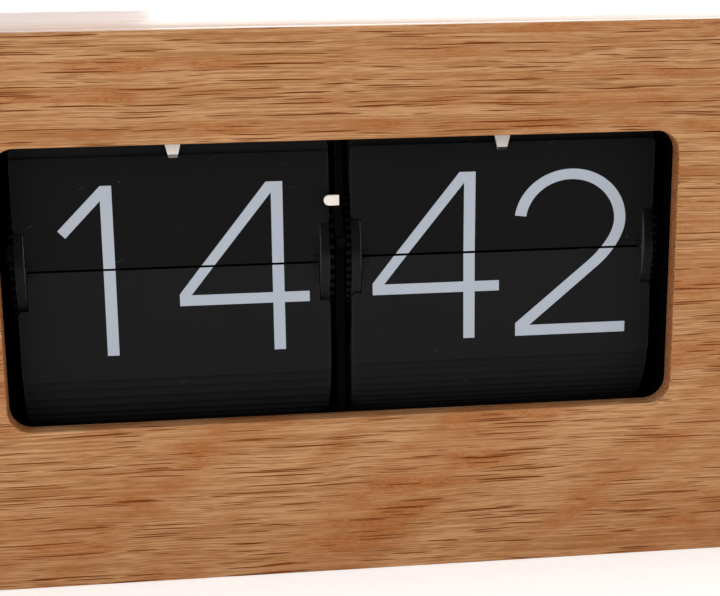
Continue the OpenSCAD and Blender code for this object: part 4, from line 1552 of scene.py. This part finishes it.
@dataclass(frozen=True)
class Movement:
    """The solids of the movement, which keep their shapes and get their finishes."""

    finishes: tuple[tuple[Finish, tuple[str, ...]], ...] = (
        (COVER_BLACK, ("battery_tray",)),
        (FRAME_BLACK, ("base_plate", "left_plate", "centre_plate", "right_plate", "release_lever")),
        (RAIL_BLACK, ("top_rail",)),
        (DRUM_BLACK, ("hour_drum_core", "minute_drum_core")),
        (LEFT_RIM, ("hour_drum_left_wheel", "minute_drum_left_wheel")),
        (RIGHT_RIM, ("hour_drum_right_wheel", "minute_drum_right_wheel")),
        (FLAP_BLACK, ("hour_upper_flap", "minute_upper_flap")),
        (LOW_FLAP_BLACK, ("hour_flap_pack", "hour_lower_flap")),
        (LOW_FLAP_BLACK, ("minute_flap_pack", "minute_lower_flap")),
        (BRIGHT_STEEL, ("base_screws", "tie_rods", "drum_shaft", "layshaft", "gear_studs")),
        (BRIGHT_STEEL, ("setting_stud", "drive_standoffs", "drive_cover_screws")),
        (DARK_WIRE, ("lever_pivot_pin", "lever_spring_wire")),
        (CONTACT_METAL, ("battery_contacts",)),
        (LEAD_RED, ("battery_leads",)),
        (GEAR_CREAM, ("hour_gear", "minute_gear", "minute_pinion", "idler_gear", "layshaft_gear")),
        (GEAR_CREAM, ("layshaft_pinion", "reduction_gear", "drive_pinion")),
        (WHEEL_GREY, ("setting_wheel",)),
        (DRIVE_WHITE, ("drive_housing", "drive_cover")),
        (COIL_COPPER, ("drive_coil",)),
        (BOARD_GREEN, ("drive_circuit_board",)),
    )

    def build(self) -> None:
        """Gives each solid its finish."""
        for finish, nodes in self.finishes:
            for node in nodes:
                dress(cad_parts[node], finish)


# Floor, light and camera


@dataclass
class Studio:
    """A white sweep of floor under soft light, with the camera at the photograph's angle.

    The floor shines a little for the rays that show it, more from glow_from to glow_to away.
    """

    floor_size: float = 40.0
    floor_white: Colour = (0.95, 0.95, 0.95, 1.0)
    glow_near: float = 0.31
    glow_more: float = 0.6
    glow_from: float = 0.3
    glow_to: float = 1.3
    world_level: float = 0.63
    aim: Triple = (0.0, 0.0, 0.08)
    lamps: tuple[tuple[str, Triple, Point, float], ...] = (
        ("overhead", (-0.15, 0.25, 1.3), (1.2, 1.2), 8.0),
        ("front_left", (-0.9, -1.1, 0.6), (0.9, 0.9), 5.4),
        ("front_right", (1.0, -1.0, 0.4), (0.8, 0.8), 3.2),
        ("sheet_behind", (0.72, 1.7, 0.5), (1.8, 0.9), 5.0),
    )
    lens_mm: float = 77.43
    place: Triple = (-0.0457, -0.4673, 0.1919)
    tilt_deg: float = 14.24
    swing_deg: float = -6.70
    roll_deg: float = -0.64

    @staticmethod
    def seen(tree: Tree) -> Socket:
        """Picks the rays that show the background: to the camera, in gloss and through glass.

        Args:
            tree: The tree of the floor or the world.

        Returns:
            1 for those rays and 0 for the others.
        """
        path = tree.add("ShaderNodeLightPath").outputs
        seen = tree.math("ADD", path["Is Camera Ray"], path["Is Glossy Ray"])
        seen = tree.math("ADD", seen, path["Is Transmission Ray"])
        return tree.math("MINIMUM", seen, 1.0)

    def floor(self) -> None:
        """Lays the floor, which shows near white and keeps the clock's shadow."""
        bpy.ops.object.select_all(action="DESELECT")
        bpy.ops.mesh.primitive_plane_add(size=self.floor_size, location=(0, 0, 0))
        floor = bpy.context.active_object
        floor.name = "floor"
        sheet = bpy.data.materials.new("floor_white")
        sheet.use_nodes = True
        shader, out = (sheet.node_tree.nodes[name] for name in ("Principled BSDF", "Material Output"))
        tree = Tree(sheet.node_tree)
        tree.shade(Base_Color=self.floor_white, Roughness=0.9, Specular_IOR_Level=0.1)
        far = tree.fade(tree.vector("LENGTH", tree.place()), self.glow_from, self.glow_to)
        level = tree.math("MULTIPLY_ADD", far, self.glow_more, self.glow_near)
        glow = tree.add("ShaderNodeEmission", {"Strength": tree.times(self.seen(tree), level)})
        both = tree.add("ShaderNodeAddShader", {0: shader.outputs[0], 1: glow.outputs[0]})
        tree.feed(out.inputs["Surface"], both.outputs[0])
        floor.data.materials.append(sheet)

    def world(self) -> None:
        """Sets the even light from all round and the white behind the clock."""
        world = bpy.data.worlds.new("studio")
        world.use_nodes = True
        bpy.context.scene.world = world
        tree = Tree(world.node_tree)
        level = tree.math("MULTIPLY_ADD", self.seen(tree), 1.0 - self.world_level, self.world_level)
        tree.fill(world.node_tree.nodes["Background"], Color=(1, 1, 1, 1), Strength=level)

    def lamp(self, name: str, place: Triple, size: Point, power: float) -> None:
        """Hangs one soft lamp that faces the clock.

        Args:
            name: The lamp's name.
            place: Where it hangs.
            size: The width and height of its face.
            power: Its power in watts.
        """
        data = bpy.data.lights.new(name, "AREA")
        data.shape = "RECTANGLE"
        data.size, data.size_y = size
        data.energy = power
        lamp = Bench.linked(name, data)
        lamp.location = place
        lamp.rotation_euler = (Vector(self.aim) - Vector(place)).to_track_quat("-Z", "Y").to_euler()

    def camera(self) -> None:
        """Places the camera that was fitted to the photograph's straight edges."""
        turn = Matrix.Identity(3)
        for degrees, axis in ((self.roll_deg, "Z"), (self.tilt_deg, "X"), (self.swing_deg, "Y")):
            turn = turn @ Matrix.Rotation(math.radians(degrees), 3, axis)
        right, down, ahead = turn @ Matrix(((1, 0, 0), (0, 0, -1), (0, 1, 0)))
        basis = Matrix((right, -down, -ahead)).transposed()
        data = bpy.data.cameras.new("photo_camera")
        data.lens = self.lens_mm
        data.sensor_width = 36.0
        data.clip_start = 0.01
        camera = Bench.linked("photo_camera", data)
        camera.matrix_world = Matrix.Translation(self.place) @ basis.to_4x4()
        bpy.context.scene.camera = camera

    def build(self) -> None:
        """Sets the stage."""
        self.camera()
        self.floor()
        self.world()
        for lamp in self.lamps:
            self.lamp(*lamp)
        bpy.context.scene.view_settings.view_transform = "Standard"


def main() -> None:
    """Builds every sub-assembly in order."""
    logging.basicConfig(level=logging.INFO, format="%(name)s: %(message)s")
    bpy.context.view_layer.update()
    Studio().build()
    Case().build()
    letters = Lettering()
    four, one, two = letters.four(), letters.one(), letters.two()
    hours = (one.moved(-64.75, 0.0), four.moved(-16.45, -0.2))
    Display("hour", Body.HOUR_FLAP, 48, 1.35, hours, hours).build()
    tens = four.moved(39.65, 0.8)
    minutes = (tens, two.moved(51.95, 0.8))
    before = (tens, one.moved(74.2, 0.8))
    Display("minute", Body.MINUTE_FLAP, 60, 0.0, minutes, before).build()
    Trim().build()
    Back().build()
    Movement().build()
    log.info("sizes written")


if __name__ == "__main__":
    main()
